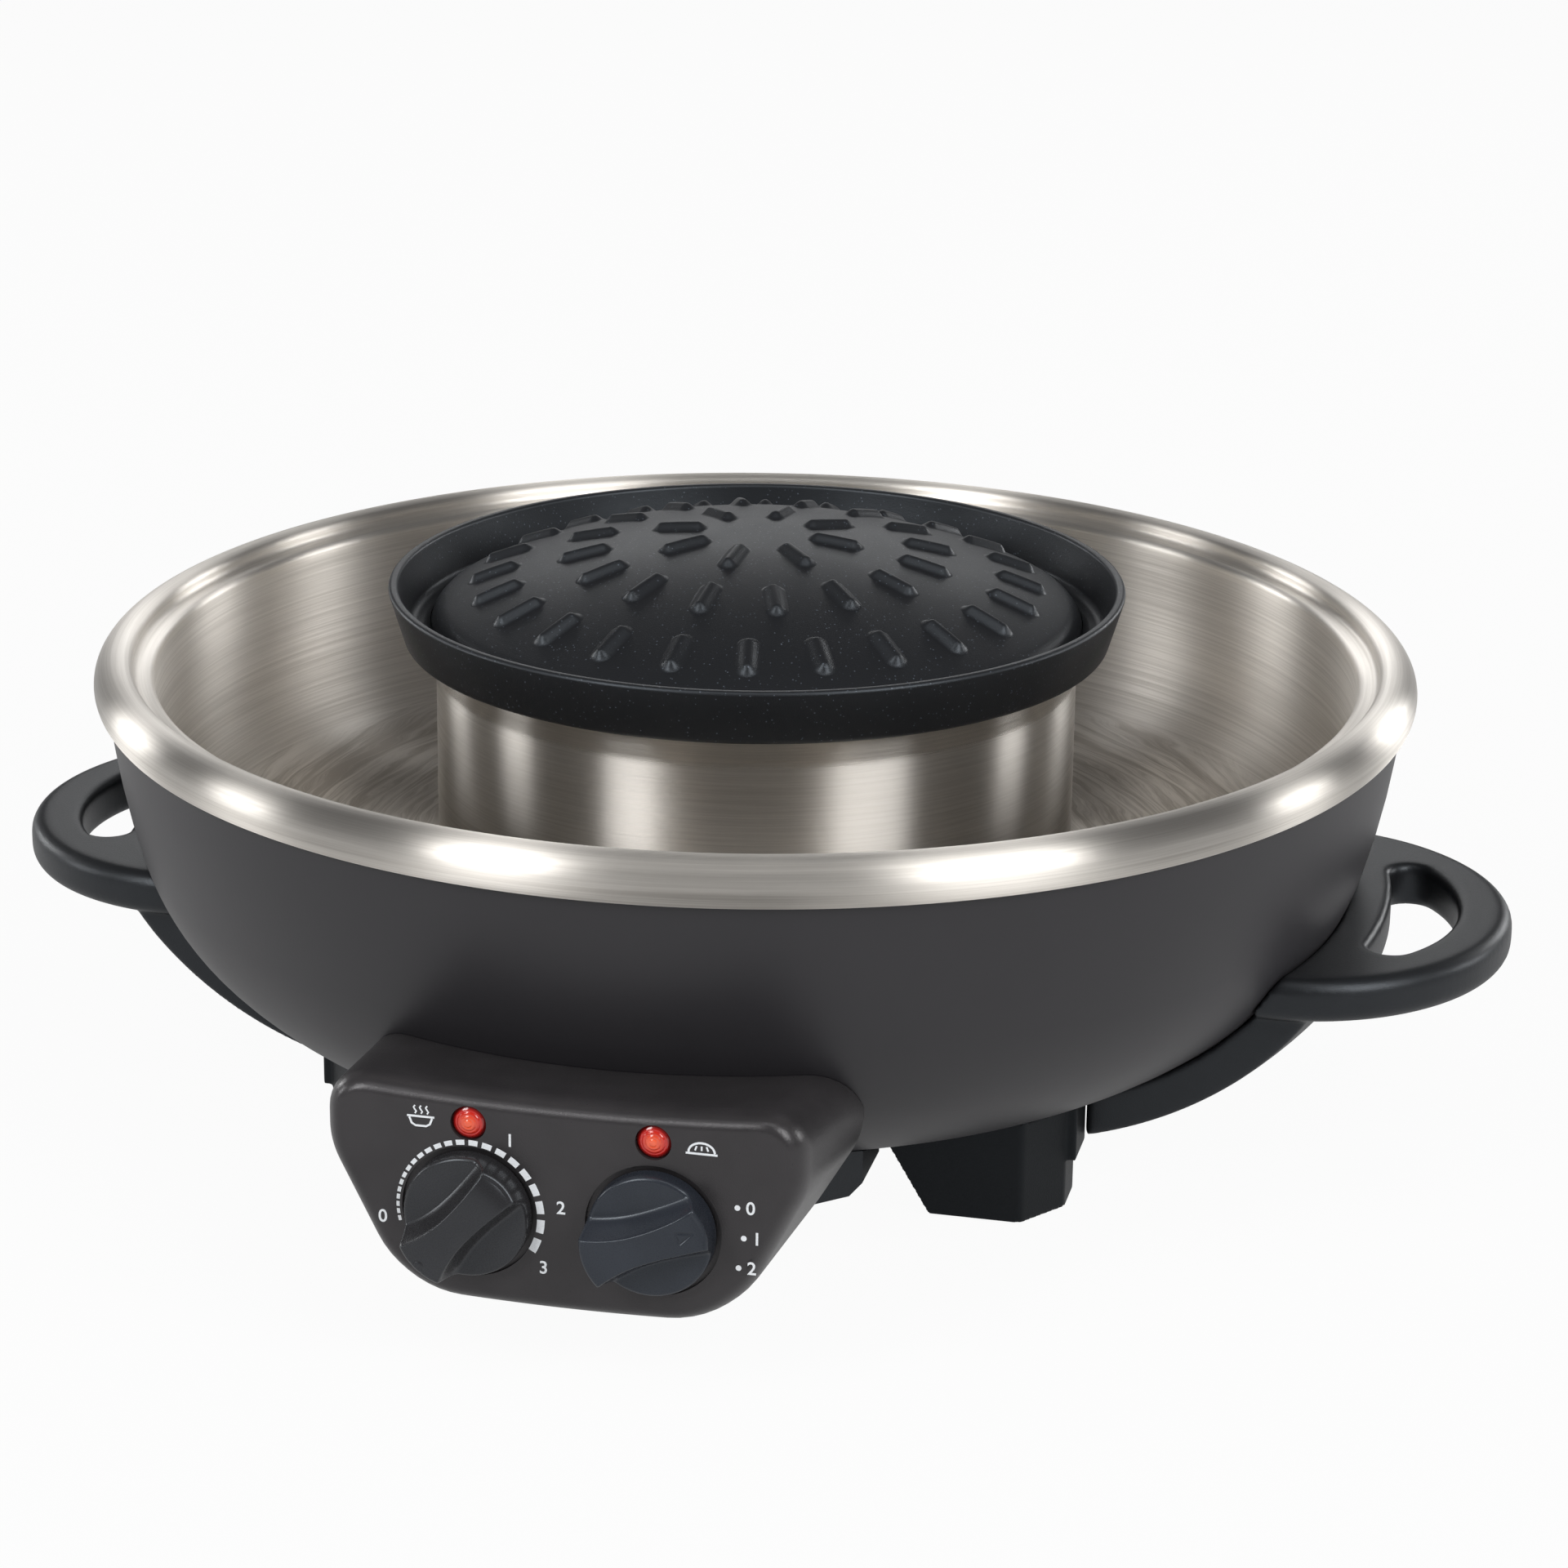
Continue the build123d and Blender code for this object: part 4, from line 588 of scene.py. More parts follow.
def makePan():
    shape = panShape
    rollX = shape["rimRadius"] - shape["roll"]
    rollZ = shape["rimTop"] - shape["roll"]
    startAngle = radians(shape["rollStart"])
    lipAngle = radians(shape["rollStart"] + shape["rollWrap"])
    lipX = rollX + (shape["roll"] - shape["lipBend"]) * cos(lipAngle) - shape["lipBend"]
    lipZ = rollZ + (shape["roll"] - shape["lipBend"]) * sin(lipAngle)
    start = (rollX + shape["roll"] * cos(startAngle), rollZ + shape["roll"] * sin(startAngle))
    path = walk(start, shape["rollStart"] + 90, [
        (shape["roll"], shape["rollWrap"]),
        (shape["lipBend"], 180 - shape["rollStart"] - shape["rollWrap"]),
        lipZ - shape["ledge"] - shape["groove"],
        (shape["groove"], -90),
        lipX - shape["groove"] - shape["well"] - shape["ledgeBend"],
        (shape["ledgeBend"], 90),
        shape["ledge"] - shape["ledgeBend"] - shape["floor"] - shape["bend"],
        (shape["bend"], -90),
        shape["well"] - shape["bend"] - shape["chimney"] - shape["foot"],
        (shape["foot"], -90),
        shape["top"] - shape["floor"] - shape["foot"] - shape["lipEdge"],
        (shape["lipEdge"], 90),
        shape["lip"],
    ], 7)
    under = beside(path, shape["wall"])
    pan = turned("steelPan", path + under[::-1], "pan_steel", shape["segments"])
    dress(pan, "pot", "pan_steel", "hotpot_pan", "pan_chimney")


# Grill plate: casting and its ribs
plateShape = dict(
    rim=105.9, rimTop=154.0, rimWall=2.8, seat=137.5, foot=101.3, footRound=2.5, lipRound=1.1,
    gutterRound=2.5, floor=3.2, crown=168.4, dome=211.0, base=94.0, shoulder=8.0, domeWall=3.2,
    ringOuter=86.6, ringInner=84.0, ringDepth=6.0, topSteps=40, underSteps=20, segments=256)
ribShape = dict(
    length=17.4, width=7.0, height=2.1, flank=3.3, border=0.8, tuck=0.05, rings=3, first=23.3, step=26.2,
    inFirst=8, phase=-3.5, spacing=0.34)


def domeProfile(reach, inset, steps):
    # The dome's section from its middle out to a radius
    shape = plateShape
    profile = []
    for index in range(steps + 1):
        radius = reach * index / steps
        rise = sqrt((shape["dome"] - inset) ** 2 - radius ** 2)
        profile.append((radius, shape["crown"] - shape["dome"] + rise))
    return profile


def makeCasting():
    shape = plateShape
    gutter = shape["seat"] + shape["floor"]
    inner = shape["rim"] - shape["rimWall"]
    tilt = asin((shape["base"] - shape["shoulder"]) / (shape["dome"] - shape["shoulder"]))
    profile = domeProfile(shape["dome"] * sin(tilt), 0.0, shape["topSteps"])
    run = walk(profile[-1], -degrees(tilt), [(shape["shoulder"], degrees(tilt) - 90)])
    drop = run[-1][1] - gutter - shape["gutterRound"]
    run += walk(run[-1], -90, [drop, (shape["gutterRound"], 90)])[1:]
    flat = inner - run[-1][0] - shape["gutterRound"] * 2
    lean = degrees(atan2(shape["gutterRound"], shape["rimTop"] - gutter))
    run += walk(run[-1], 0, [flat, (shape["gutterRound"], 90 - lean)])[1:]
    profile += run[1:]
    lip = shape["lipRound"]
    outer = shape["rim"] - lip
    lipZ = shape["rimTop"] - lip
    profile += [(inner + lip * (1 - cos(a)), lipZ + lip * sin(a)) for a in arc(0, 90)]
    profile += [(outer + lip * sin(a), lipZ + lip * cos(a)) for a in arc(0, 90)]
    skirt = atan2(shape["rim"] - shape["foot"], shape["rimTop"] - shape["seat"])
    bend = shape["footRound"]
    footX = shape["foot"] - bend * tan(pi / 4 - skirt / 2)
    profile += [(footX + bend * cos(a), shape["seat"] + bend - bend * sin(a))
                for a in arc(degrees(skirt), 90)]
    ringLow = shape["seat"] - shape["ringDepth"]
    profile += [(shape["ringOuter"], shape["seat"]), (shape["ringOuter"], ringLow)]
    profile += [(shape["ringInner"], ringLow)]
    profile += domeProfile(shape["ringInner"], shape["domeWall"], shape["underSteps"])[::-1]
    return turned("grillCasting", profile, "plate_coating", shape["segments"], False)


def ribHeight(u, v):
    # Height over the dome at a point of the rib's own plane
    shape = ribShape
    half = (shape["length"] - shape["width"]) / 2
    reach = hypot(max(abs(u) - half, 0.0), v) - (shape["width"] / 2 - shape["flank"])
    share = min(max(reach / shape["flank"], 0.0), 1.0)
    return shape["height"] * (1 - share * share * (3 - 2 * share))


def makeRibs():
    # Each rib is a fine patch laid on the dome; its border dips just under the skin
    shape = ribShape
    dome = plateShape["dome"]
    long = shape["length"] + 2 * shape["border"]
    wide = shape["width"] + 2 * shape["border"]
    countU = round(long / shape["spacing"])
    countV = round(wide / shape["spacing"])
    points, faces = [], []
    for ring in range(shape["rings"]):
        tilt = asin((shape["first"] + ring * shape["step"]) / dome)
        count = shape["inFirst"] * (ring + 1)
        for number in range(count):
            angle = radians(shape["phase"] + number * 360 / count - 90)
            placed = Matrix.Rotation(angle, 3, "Z") @ Matrix.Rotation(tilt, 3, "Y")
            start = len(points)
            for i in range(countU + 1):
                for j in range(countV + 1):
                    u = (i / countU - 0.5) * long
                    v = (j / countV - 0.5) * wide
                    rise = ribHeight(u, v)
                    out = dome + (rise if rise > 0 else -shape["tuck"])
                    spot = placed @ (Vector((u, v, dome)).normalized() * out)
                    points.append((spot.x, spot.y, spot.z + plateShape["crown"] - dome))
            for i in range(countU):
                for j in range(countV):
                    corner = start + i * (countV + 1) + j
                    faces.append((corner, corner + countV + 1, corner + countV + 2, corner + 1))
    return makeObject("grillRibs", points, faces, "plate_coating", 180)


def makePlate():
    dress(makeCasting(), "plate", "plate_coating", "grill_plate", "plate_rim")
    dress(makeRibs(), "plate", "plate_coating")


# Control box: a lofted housing that the bowl cuts at its rear
boxShape = dict(
    halfWidth=62.6, top=80.6, dip=3.0, fall=8.4, flare=3.6, sideHeight=58.9, sideFall=6.0, kneeX=43.2,
    kneeHeight=19.6, bottom=18.2, middle=48.0, topRound=12.0, sideRound=24.0, kneeRound=26.0, faceRound=5.0,
    faceFall=8.5, depth=56.0, sections=(0.3, 0.6, 0.8, 1.0), runSteps=10, recess=17.8, recessDepth=1.2,
    lampHole=4.7, lampDepth=3.0, overrun=2.0, gap=0.25, sharpAngle=28)


def roundedCorner(before, corner, after, radius, count=9):
    corner = Vector(corner)
    one = (Vector(before) - corner).normalized()
    two = (Vector(after) - corner).normalized()
    spread = one.angle(two)
    reach = radius / tan(spread / 2)
    middle = corner + (one + two).normalized() * (radius / sin(spread / 2))
    start = corner + one * reach - middle
    end = corner + two * reach - middle
    angle = start.angle(end)
    points = []
    for index in range(count + 1):
        share = index / count
        mixed = start * sin((1 - share) * angle) + end * sin(share * angle)
        points.append(middle + mixed / sin(angle))
    return points


def boxOutline(place):
    # place is 0 at the face and 1 at the rear; half the outline is made, then mirrored
    shape = boxShape
    side = shape["halfWidth"] + shape["flare"] * place
    knee = shape["kneeX"] + shape["flare"] * place
    top = shape["top"] - shape["fall"] * place
    shoulder = shape["sideHeight"] - shape["sideFall"] * place
    low = shape["kneeHeight"]
    corners = [(0, top), (side, top), (side, shoulder), (knee, low), (0, low)]
    half = []
    for index, radius in enumerate((shape["topRound"], shape["sideRound"], shape["kneeRound"])):
        half += roundedCorner(*corners[index:index + 3], radius)
    steps = shape["runSteps"]
    topRun = [Vector((half[0].x * index / steps, top)) for index in range(steps)]
    lowRun = [Vector((half[-1].x * (1 - index / steps), low)) for index in range(1, steps + 1)]
    eased = []
    for x, z in topRun + half + lowRun:
        if z > top - shape["topRound"]:
            share = (z - top + shape["topRound"]) / shape["topRound"]
            z -= shape["dip"] * (1 - (x / side) ** 2) * share
        if abs(x) < knee and z < shape["sideHeight"] / 2:
            z -= (low - shape["bottom"]) * (1 - (x / knee) ** 2)
        eased.append(Vector((x, z)))
    return eased + [Vector((-p.x, p.y)) for p in eased[-2:0:-1]]


def insetOutline(outline, distance):
    count = len(outline)
    middle = Vector((0, boxShape["middle"]))
    moved = []
    for index, point in enumerate(outline):
        along = outline[(index + 1) % count] - outline[index - 1]
        inward = Vector((-along.y, along.x)).normalized()
        if inward.dot(middle - point) < 0:
            inward = -inward
        moved.append(point + inward * distance)
    return moved


def rod(name, x, z, radius, front, back, count=72):
    # Closed round bar along Y, used to cut recesses in the face
    points = [(x + radius * cos(a), y, z + radius * sin(a))
              for y in (front, back) for a in arc(0, 360, count)[:-1]]
    caps = [tuple(range(count)), tuple(range(2 * count - 1, count - 1, -1))]
    return closedObject(name, points, band(0, count) + caps)


def cut(piece, tools):
    for tool in tools:
        modifier = piece.modifiers.new("cut", "BOOLEAN")
        modifier.operation = "DIFFERENCE"
        modifier.solver = "EXACT"
        modifier.object = tool
    bake(piece)
    for tool in tools:
        bpy.data.objects.remove(tool)


def makeBox():
    shape = boxShape
    face = panel["face"]
    rings = []
    for angle in arc(0, 90, 9):
        back = shape["faceFall"] * (1 - cos(angle))
        inset = shape["faceRound"] * (1 - sin(angle))
        rings.append((face - back, insetOutline(boxOutline(back / shape["depth"]), inset)))
    for place in shape["sections"]:
        rings.append((face - shape["depth"] * place, boxOutline(place)))
    count = len(rings[0][1])
    points = [(p.x, -y, p.y) for y, ring in rings for p in ring]
    faces = [tuple(range(count)), tuple(range(len(points) - 1, len(points) - count - 1, -1))]
    for base in range(0, len(points) - count, count):
        faces += band(base, count)
    box = closedObject("controlHousing", points, faces)
    bowl = beside(bowlPath(), shape["gap"])
    profile = [(0.0, bowl[0][1])] + bowl + [(0.0, bowl[-1][1])]
    tools = [turned("bowlCutter", profile, "black_plastic", shellShape["segments"], False)]
    front = -face - shape["overrun"]
    for side in (-1, 1):
        x = side * panel["apart"]
        tools.append(rod("recess", x, panel["knobHeight"], shape["recess"], front,
                         -face + shape["recessDepth"]))
        tools.append(rod("lampHole", x, panel["lampHeight"], shape["lampHole"], front,
                         -face + shape["lampDepth"], 48))
    cut(box, tools)
    box.data.materials[0] = looks["housing"]
    box.data.shade_smooth()
    box.data.set_sharp_from_angle(angle=radians(shape["sharpAngle"]))
    dress(box, "base", "black_plastic", "control_box")


def onFace(x, z, depth):
    # Moves a piece to its place on the control box's face; depth goes into the box
    return Matrix.Translation(Vector((x, depth - panel["face"], z)) * mm)


# Knobs: a round disc with a waisted grip that is high at its nose and falls to the disc at its tail
knobShape = dict(
    radius=16.3, disc=5.0, depth=13.1, edge=1.1, waist=4.0, noseFlare=3.4, tailFlare=1.6, wall=3.4, soft=0.35,
    back=0.6, fall=0.27, rings=100, spokes=400, sharpAngle=70)
markShape = dict(depth=0.28, line=0.32, tip=13.4, tail=9.6, half=1.6, arcPlace=15.2, arcRadius=1.6)


def softMax(one, two, soft):
    share = max(soft - abs(one - two), 0.0) / soft
    return max(one, two) + share * share * soft / 4


def knobTop(x, y, nose, mark):
    shape = knobShape
    along = max(-1.0, min(1.0, x * nose / shape["radius"]))
    flare = shape["noseFlare"] if along > 0 else shape["tailFlare"]
    half = shape["waist"] + flare * along * along
    rise = (shape["depth"] - shape["disc"]) * (1 - (1 - along) ** 2 / 4) ** shape["fall"]
    across = min(softMax(abs(y) - half, 0.0, shape["soft"]) / shape["wall"], 1.0)
    return shape["disc"] + rise * (1 - across) ** 2 - mark(x, y)


def engraved(distance):
    # Depth of a thin groove at a distance from its line
    return markShape["depth"] * max(0.0, 1 - distance / markShape["line"])


def edgeDistance(x, y, start, end):
    dx, dy = end[0] - start[0], end[1] - start[1]
    share = min(max(((x - start[0]) * dx + (y - start[1]) * dy) / (dx * dx + dy * dy), 0.0), 1.0)
    return hypot(x - start[0] - share * dx, y - start[1] - share * dy)


def triangleMark(x, y):
    # Small triangle near the grip's end
    tail, half = markShape["tail"], markShape["half"]
    corners = [(markShape["tip"], 0.0), (tail, half), (tail, -half)]
    return engraved(min(edgeDistance(x, y, corners[i], corners[(i + 1) % 3]) for i in range(3)))


def arcMark(x, y):
    # Small arc near the grip's end
    if x >= markShape["arcPlace"]:
        return 0.0
    return engraved(abs(hypot(x - markShape["arcPlace"], y) - markShape["arcRadius"]))


def makeKnob(name, body, side, pointer, nose, mark, look):
    # side is -1 for left, pointer the grip's direction in degrees, nose 1 when its high end is marked
    shape = knobShape
    inner = shape["radius"] - shape["edge"]
    count = shape["spokes"]
    levels = [("top", ring / shape["rings"]) for ring in range(1, shape["rings"] + 1)]
    levels += [("edge", angle) for angle in arc(15, 90, 5)]
    levels += [("side", 0.0)]
    points = [(0.0, 0.0, knobTop(0.0, 0.0, nose, mark))]
    for kind, amount in levels:
        for spoke in range(count):
            angle = 2 * pi * spoke / count
            reach = inner * amount if kind == "top" else inner
            high = knobTop(reach * cos(angle), reach * sin(angle), nose, mark)
            if kind == "edge":
                high += shape["edge"] * (cos(amount) - 1)
                reach = inner + shape["edge"] * sin(amount)
            if kind == "side":
                reach, high = shape["radius"], 0.0
            points.append((reach * cos(angle), reach * sin(angle), high))
    faces = [(0, 1 + spoke, 1 + (spoke + 1) % count) for spoke in range(count)]
    for base in range(1, len(points) - count, count):
        for spoke in range(count):
            after = (spoke + 1) % count
            faces.append((base + spoke, base + spoke + count, base + after + count, base + after))
    faces.append(tuple(range(len(points) - 1, len(points) - count - 1, -1)))
    piece = makeObject(name, points, faces, look, shape["sharpAngle"])
    turn = radians(pointer)
    across, up = cos(turn), sin(turn)
    axes = Matrix(((across, -up, 0), (0, 0, -1), (up, across, 0))).to_4x4()
    spot = onFace(side * panel["apart"], panel["knobHeight"], shape["back"])
    piece.data.transform(spot @ axes)
    dress(piece, body, look, body)


# Signal lamps: domed lens with moulded rings
lensShape = dict(
    radius=4.5, dome=1.5, recess=1.2, depth=4.0, rings=(1.1, 2.1, 3.1), groove=0.16, grooveWidth=0.32,
    steps=60, segments=64)


def makeLens(name, side, node):
    shape = lensShape
    ball = (shape["radius"] ** 2 + shape["dome"] ** 2) / (2 * shape["dome"])
    profile = []
    for index in range(shape["steps"] + 1):
        radius = shape["radius"] * index / shape["steps"]
        height = shape["dome"] - ball + sqrt(ball ** 2 - radius ** 2)
        nearest = min(abs(radius - ring) for ring in shape["rings"])
        profile.append((radius, height - shape["groove"] * max(0.0, 1 - nearest / shape["grooveWidth"])))
    profile += [(shape["radius"], -shape["depth"]), (0.0, -shape["depth"])]
    lens = turned(name, profile, "lamp_lens", shape["segments"], False)
    spot = onFace(side * panel["apart"], panel["lampHeight"], shape["recess"])
    lens.data.transform(spot @ Matrix.Rotation(pi / 2, 4, "X"))
    dress(lens, "base", "lamp_lens", node)


# Printed scale on the face: growing dashes, dots, plain numbers and two small pictograms
# A number has its angle round the knob and, on the left, its reach from the knob's middle
printShape = dict(
    lift=0.03, thick=0.04, tuck=0.02, dashRadius=18.9, dashes=23, spreadShare=0.4, firstAngle=195.0,
    lastAngle=-32.0, thin=0.8, broad=2.1, growth=1.5, gapShare=0.32, numberSize=4.9, numberOffset=0.06,
    hotpotNumbers=(("0", 190, 23.4), ("1", 62, 23.2), ("2", 8, 24.4), ("3", -35, 23.8)),
    grillNumbers=(("0", 22.0), ("1", 1.5), ("2", -19.0)), dotRadius=0.75, dotReach=23.5, numberReach=3.4,
    signReach=12.5, signLift=0.3)
potSign = dict(
    bowl=((-3.0, 0.0), (-2.4, -1.6), (-1.4, -2.2), (1.4, -2.2), (2.4, -1.6), (3.0, 0.0)),
    brim=((-3.6, 0.35), (3.6, 0.35)), line=0.55, steam=(-1.5, 0.1, 1.7), steamFoot=1.1, steamSteps=5,
    steamRise=0.55, steamSway=0.35, steamBend=1.6, steamLine=0.42)
grillSign = dict(
    halfWidth=3.4, height=2.6, foot=-1.6, base=((-4.1, -1.95), (4.1, -1.95)), line=0.55,
    bars=(-1.7, 0.0, 1.7), barFoot=-1.1, barTop=0.1, barLean=0.75, barLine=0.45)


def facePlate(name, shapes):
    # Thin printed shapes on the face, each a closed outline of (x, z) points
    points, faces = [], []
    front = -panel["face"] - printShape["lift"] - printShape["thick"]
    back = -panel["face"] + printShape["tuck"]
    for outline in shapes:
        start = len(points)
        count = len(outline)
        points += [(x, front, z) for x, z in outline] + [(x, back, z) for x, z in outline]
        faces += [tuple(range(start, start + count))] + band(start, count)
    dress(closedObject(name, points, faces, "print"), "base", "black_plastic")


def dashStart(number):
    # Angle where a dash starts: close together at first, then wider apart
    shape = printShape
    share = number / shape["dashes"]
    grown = share * (1 - shape["spreadShare"] * (1 - share * share))
    return shape["firstAngle"] + (shape["lastAngle"] - shape["firstAngle"]) * grown


def dashOutlines(centreX, centreZ):
    shape = printShape
    outlines = []
    for number in range(shape["dashes"]):
        share = number / (shape["dashes"] - 1)
        width = shape["thin"] + (shape["broad"] - shape["thin"]) * share ** shape["growth"]
        start, end = dashStart(number), dashStart(number + 1)
        gap = (end - start) * shape["gapShare"] / 2
        inner = [(shape["dashRadius"] - width / 2, a) for a in arc(start + gap, end - gap, 4)]
        outer = [(shape["dashRadius"] + width / 2, a) for a in arc(end - gap, start + gap, 4)]
        outlines.append([(centreX + r * cos(a), centreZ + r * sin(a)) for r, a in inner + outer])
    return outlines


def dotOutline(x, z, radius, count=24):
    return [(x + radius * cos(a), z + radius * sin(a)) for a in arc(0, 360, count)[:-1]]


def stroke(line, width, x, z):
    # A line drawn at a place, as a closed outline
    placed = [(x + ownX, z + ownZ) for ownX, ownZ in line]
    return beside(placed, width / 2) + beside(placed, -width / 2)[::-1]


def potPictogram(x, z):
    sign = potSign
    strokes = [stroke(sign["bowl"], sign["line"], x, z), stroke(sign["brim"], sign["line"], x, z)]
    wave = [(sign["steamSway"] * sin(step * sign["steamBend"]), step * sign["steamRise"])
            for step in range(sign["steamSteps"])]
    for place in sign["steam"]:
        strokes.append(stroke(wave, sign["steamLine"], x + place, z + sign["steamFoot"]))
    return strokes


def grillPictogram(x, z):
    sign = grillSign
    dome = [(sign["halfWidth"] * cos(a), sign["foot"] + sign["height"] * sin(a))
            for a in arc(180, 0, 12)]
    strokes = [stroke(dome, sign["line"], x, z), stroke(sign["base"], sign["line"], x, z)]
    for place in sign["bars"]:
        bar = [(place, sign["barFoot"]), (place * sign["barLean"], sign["barTop"])]
        strokes.append(stroke(bar, sign["barLine"], x, z))
    return strokes


def makeNumber(text, x, z):
    curve = bpy.data.curves.new("number" + text, "FONT")
    curve.body = text
    curve.size = printShape["numberSize"] * mm
    curve.extrude = printShape["thick"] * mm
    curve.offset = printShape["numberOffset"] * mm
    curve.align_x = "CENTER"
    curve.align_y = "CENTER"
    source = linked("numberSource", curve)
    mesh = bakedMesh(source)
    bpy.data.objects.remove(source)
    mesh.materials.clear()
    mesh.materials.append(looks["print"])
    mesh.transform(onFace(x, z, -printShape["lift"]) @ Matrix.Rotation(pi / 2, 4, "X"))
    dress(linked("dialNumber", mesh), "base", "black_plastic")


def makePrint():
    shape = printShape
    apart, high = panel["apart"], panel["knobHeight"]
    facePlate("hotpotScale", dashOutlines(-apart, high))
    for text, angle, reach in shape["hotpotNumbers"]:
        turn = radians(angle)
        makeNumber(text, -apart + reach * cos(turn), high + reach * sin(turn))
    dots = []
    for text, angle in shape["grillNumbers"]:
        turn = radians(angle)
        x = apart + shape["dotReach"] * cos(turn)
        z = high + shape["dotReach"] * sin(turn)
        dots.append(dotOutline(x, z, shape["dotRadius"]))
        makeNumber(text, x + shape["numberReach"], z)
    facePlate("grillDots", dots)
    signHeight = panel["lampHeight"] + shape["signLift"]
    facePlate("potSign", potPictogram(-apart - shape["signReach"], signHeight))
    facePlate("grillSign", grillPictogram(apart + shape["signReach"], signHeight))


makeShell()
makePan()
makePlate()
print("bowl, pan and plate made")
makeBox()
makeKnob("hotpotKnob", "hotpot_knob", side=-1, pointer=227.5, nose=1, mark=arcMark, look="knob_black")
makeKnob("grillKnob", "grill_knob", side=1, pointer=21.0, nose=-1, mark=triangleMark, look="knob_grey")
makeLens("hotpotLens", -1, "lamp_lens_hotpot")
makeLens("grillLens", 1, "lamp_lens_grill")
makePrint()
print("control box made")


# Handles and legs: finer copies of the mouldings, with their edges and corners eased
mouldings = {
    "handle": dict(look="black_plastic", voxel=0.9, rounds=6, places=("right", "left")),
    # The legs use the darker copy of the black moulding, which is painted shade
    "leg": dict(look="legs", voxel=0.5, rounds=4,
                places=("front_right", "front_left", "rear_right", "rear_left")),
}


def softened(name, node, look, voxel, rounds):
    piece = linked(name, frame["nodes"][node].data.copy())
    remesh = piece.modifiers.new("remesh", "REMESH")
    remesh.mode = "VOXEL"
    remesh.voxel_size = voxel * mm
    piece.modifiers.new("ease", "SMOOTH").iterations = rounds
    bake(piece)
    piece.data.shade_smooth()
    piece.data.materials.clear()
    piece.data.materials.append(looks[look])
    return piece


def makeMouldings(kind, look, voxel, rounds, places):
    for place in places:
        node = kind + "_" + place
        name = kind + place.title().replace("_", "") + "Moulding"
        dress(softened(name, node, look, voxel, rounds), "base", "black_plastic", node)


for kind, settings in mouldings.items():
    makeMouldings(kind, **settings)
print("handles and legs made")


# Floor and world: white to the camera, dimmer to what metal and gloss reflect
stageLook = dict(
    floorSize=14.0, floorColour=(0.6, 0.6, 0.6), floorShade=(0.58, 0.58, 0.58), floorScale=0.02,
    whiteShare=0.95, mirroredShare=0.36, skyColour=(0.5, 0.5, 0.51), skyStrength=0.22, skyShare=0.04)


def makeFloor():
    look = stageLook
    half = look["floorSize"] / 2
    mesh = bpy.data.meshes.new("floor")
    corners = [(-half, -half, 0), (half, -half, 0), (half, half, 0), (-half, half, 0)]
    mesh.from_pydata(corners, [], [(0, 1, 2, 3)])
    finish = Finish("paleFloor", Roughness=0.9, Specular_IOR_Level=0.0)
    grain = finish.noise(finish.place(), look["floorScale"])
    finish.feed(Base_Color=finish.blend(grain, look["floorColour"], look["floorShade"]))
    glow = finish.add("ShaderNodeEmission", inputs={"Color": (1.0, 1.0, 1.0), "Strength": 1.0})
    share = finish.seenShare(look["whiteShare"], look["mirroredShare"])
    plain = Value(finish, finish.shader.outputs[0])
    finish.show(finish.add("ShaderNodeMixShader", inputs={0: share, 1: plain, 2: glow}), "Material Output")
    mesh.materials.append(finish.material)
    linked("floor", mesh)


def makeWorld():
    look = stageLook
    world = bpy.data.worlds.new("studio")
    bpy.context.scene.world = world
    world.use_nodes = True
    finish = Backdrop(world)
    sky = {"Color": look["skyColour"], "Strength": look["skyStrength"]}
    dim = finish.add("ShaderNodeBackground", inputs=sky)
    white = finish.add("ShaderNodeBackground", inputs={"Color": (1.0, 1.0, 1.0), "Strength": 1.0})
    share = finish.seenShare(1.0, look["skyShare"])
    finish.show(finish.add("ShaderNodeMixShader", inputs={0: share, 1: dim, 2: white}), "World Output")


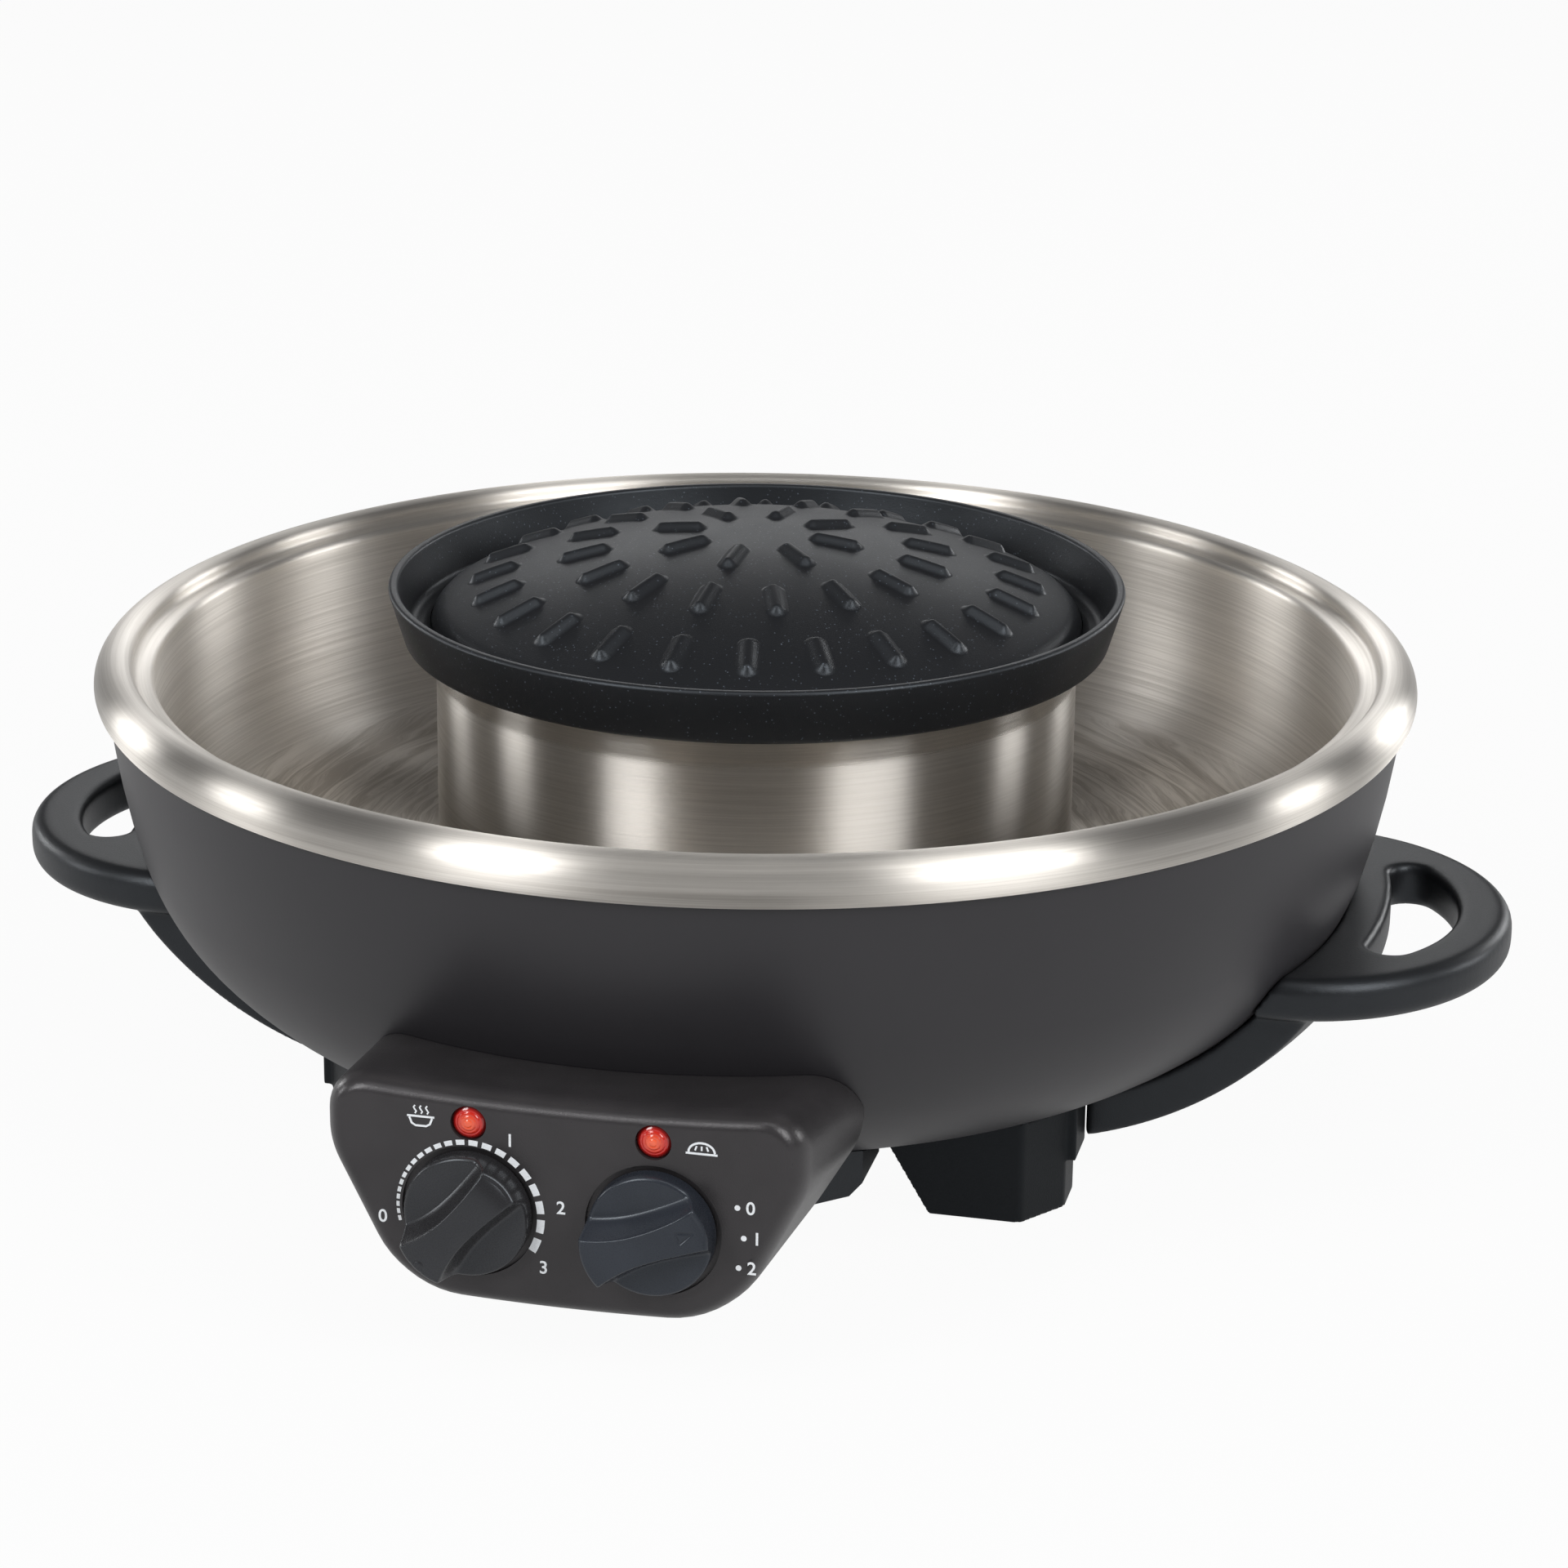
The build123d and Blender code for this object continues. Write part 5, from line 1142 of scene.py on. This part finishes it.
# Lights: turn is measured from the front towards the right, tilt above the table
softboxes = {
    "leftBox": dict(turn=-32, tilt=34, reach=1.9, width=0.56, height=1.1, power=17),
    "rightBox": dict(turn=55, tilt=34, reach=1.9, width=0.85, height=1.1, power=20),
    "overhead": dict(turn=13, tilt=70, reach=1.8, width=1.2, height=0.3, power=3.5),
    "leftSide": dict(turn=-78, tilt=14, reach=2.0, width=0.45, height=0.5, power=5.6),
    "leftRear": dict(turn=-113, tilt=12, reach=2.0, width=0.45, height=0.5, power=5),
    "rightSide": dict(turn=113, tilt=14, reach=2.0, width=0.45, height=0.5, power=5.6),
    "rightRear": dict(turn=148, tilt=12, reach=2.0, width=0.45, height=0.5, power=5),
    "behind": dict(turn=193, tilt=21, reach=2.2, width=1.4, height=0.5, power=4),
}
lightAim = Vector((0, 0, 0.09))


def makeSoftbox(name, turn, tilt, reach, width, height, power):
    light = bpy.data.lights.new(name, "AREA")
    light.shape = "RECTANGLE"
    light.size = width
    light.size_y = height
    light.energy = power
    lamp = linked(name, light)
    across, up = radians(turn), radians(tilt)
    spot = Vector((sin(across) * cos(up), -cos(across) * cos(up), sin(up))) * reach
    lamp.location = spot + lightAim
    lamp.rotation_euler = spot.to_track_quat("Z", "Y").to_euler()


# Camera: its place, and the axes that are turned about Z by turn
cameraView = dict(
    place=(284.1, -1206.4, 521.2), lens=102.94, sensor=36, reach=50, turn=13.245,
    right=(0.99993, -0.00283, 0.01105), up=(-0.00952, 0.32746, 0.94482))


def makeCamera():
    view = cameraView
    camera = bpy.data.cameras.new("camera")
    camera.lens = view["lens"]
    camera.sensor_width = view["sensor"]
    camera.clip_end = view["reach"]
    holder = linked("camera", camera)
    turn = Matrix.Rotation(radians(view["turn"]), 3, "Z")
    right = (turn @ Vector(view["right"])).normalized()
    back = right.cross(turn @ Vector(view["up"])).normalized()
    up = back.cross(right)
    axes = Matrix((right, up, back)).transposed().to_4x4()
    holder.matrix_world = Matrix.Translation(Vector(view["place"]) * mm) @ axes
    bpy.context.scene.camera = holder


makeFloor()
makeWorld()
for name, settings in softboxes.items():
    makeSoftbox(name, **settings)
makeCamera()
bpy.context.scene.view_settings.view_transform = "Standard"
print("stage set")
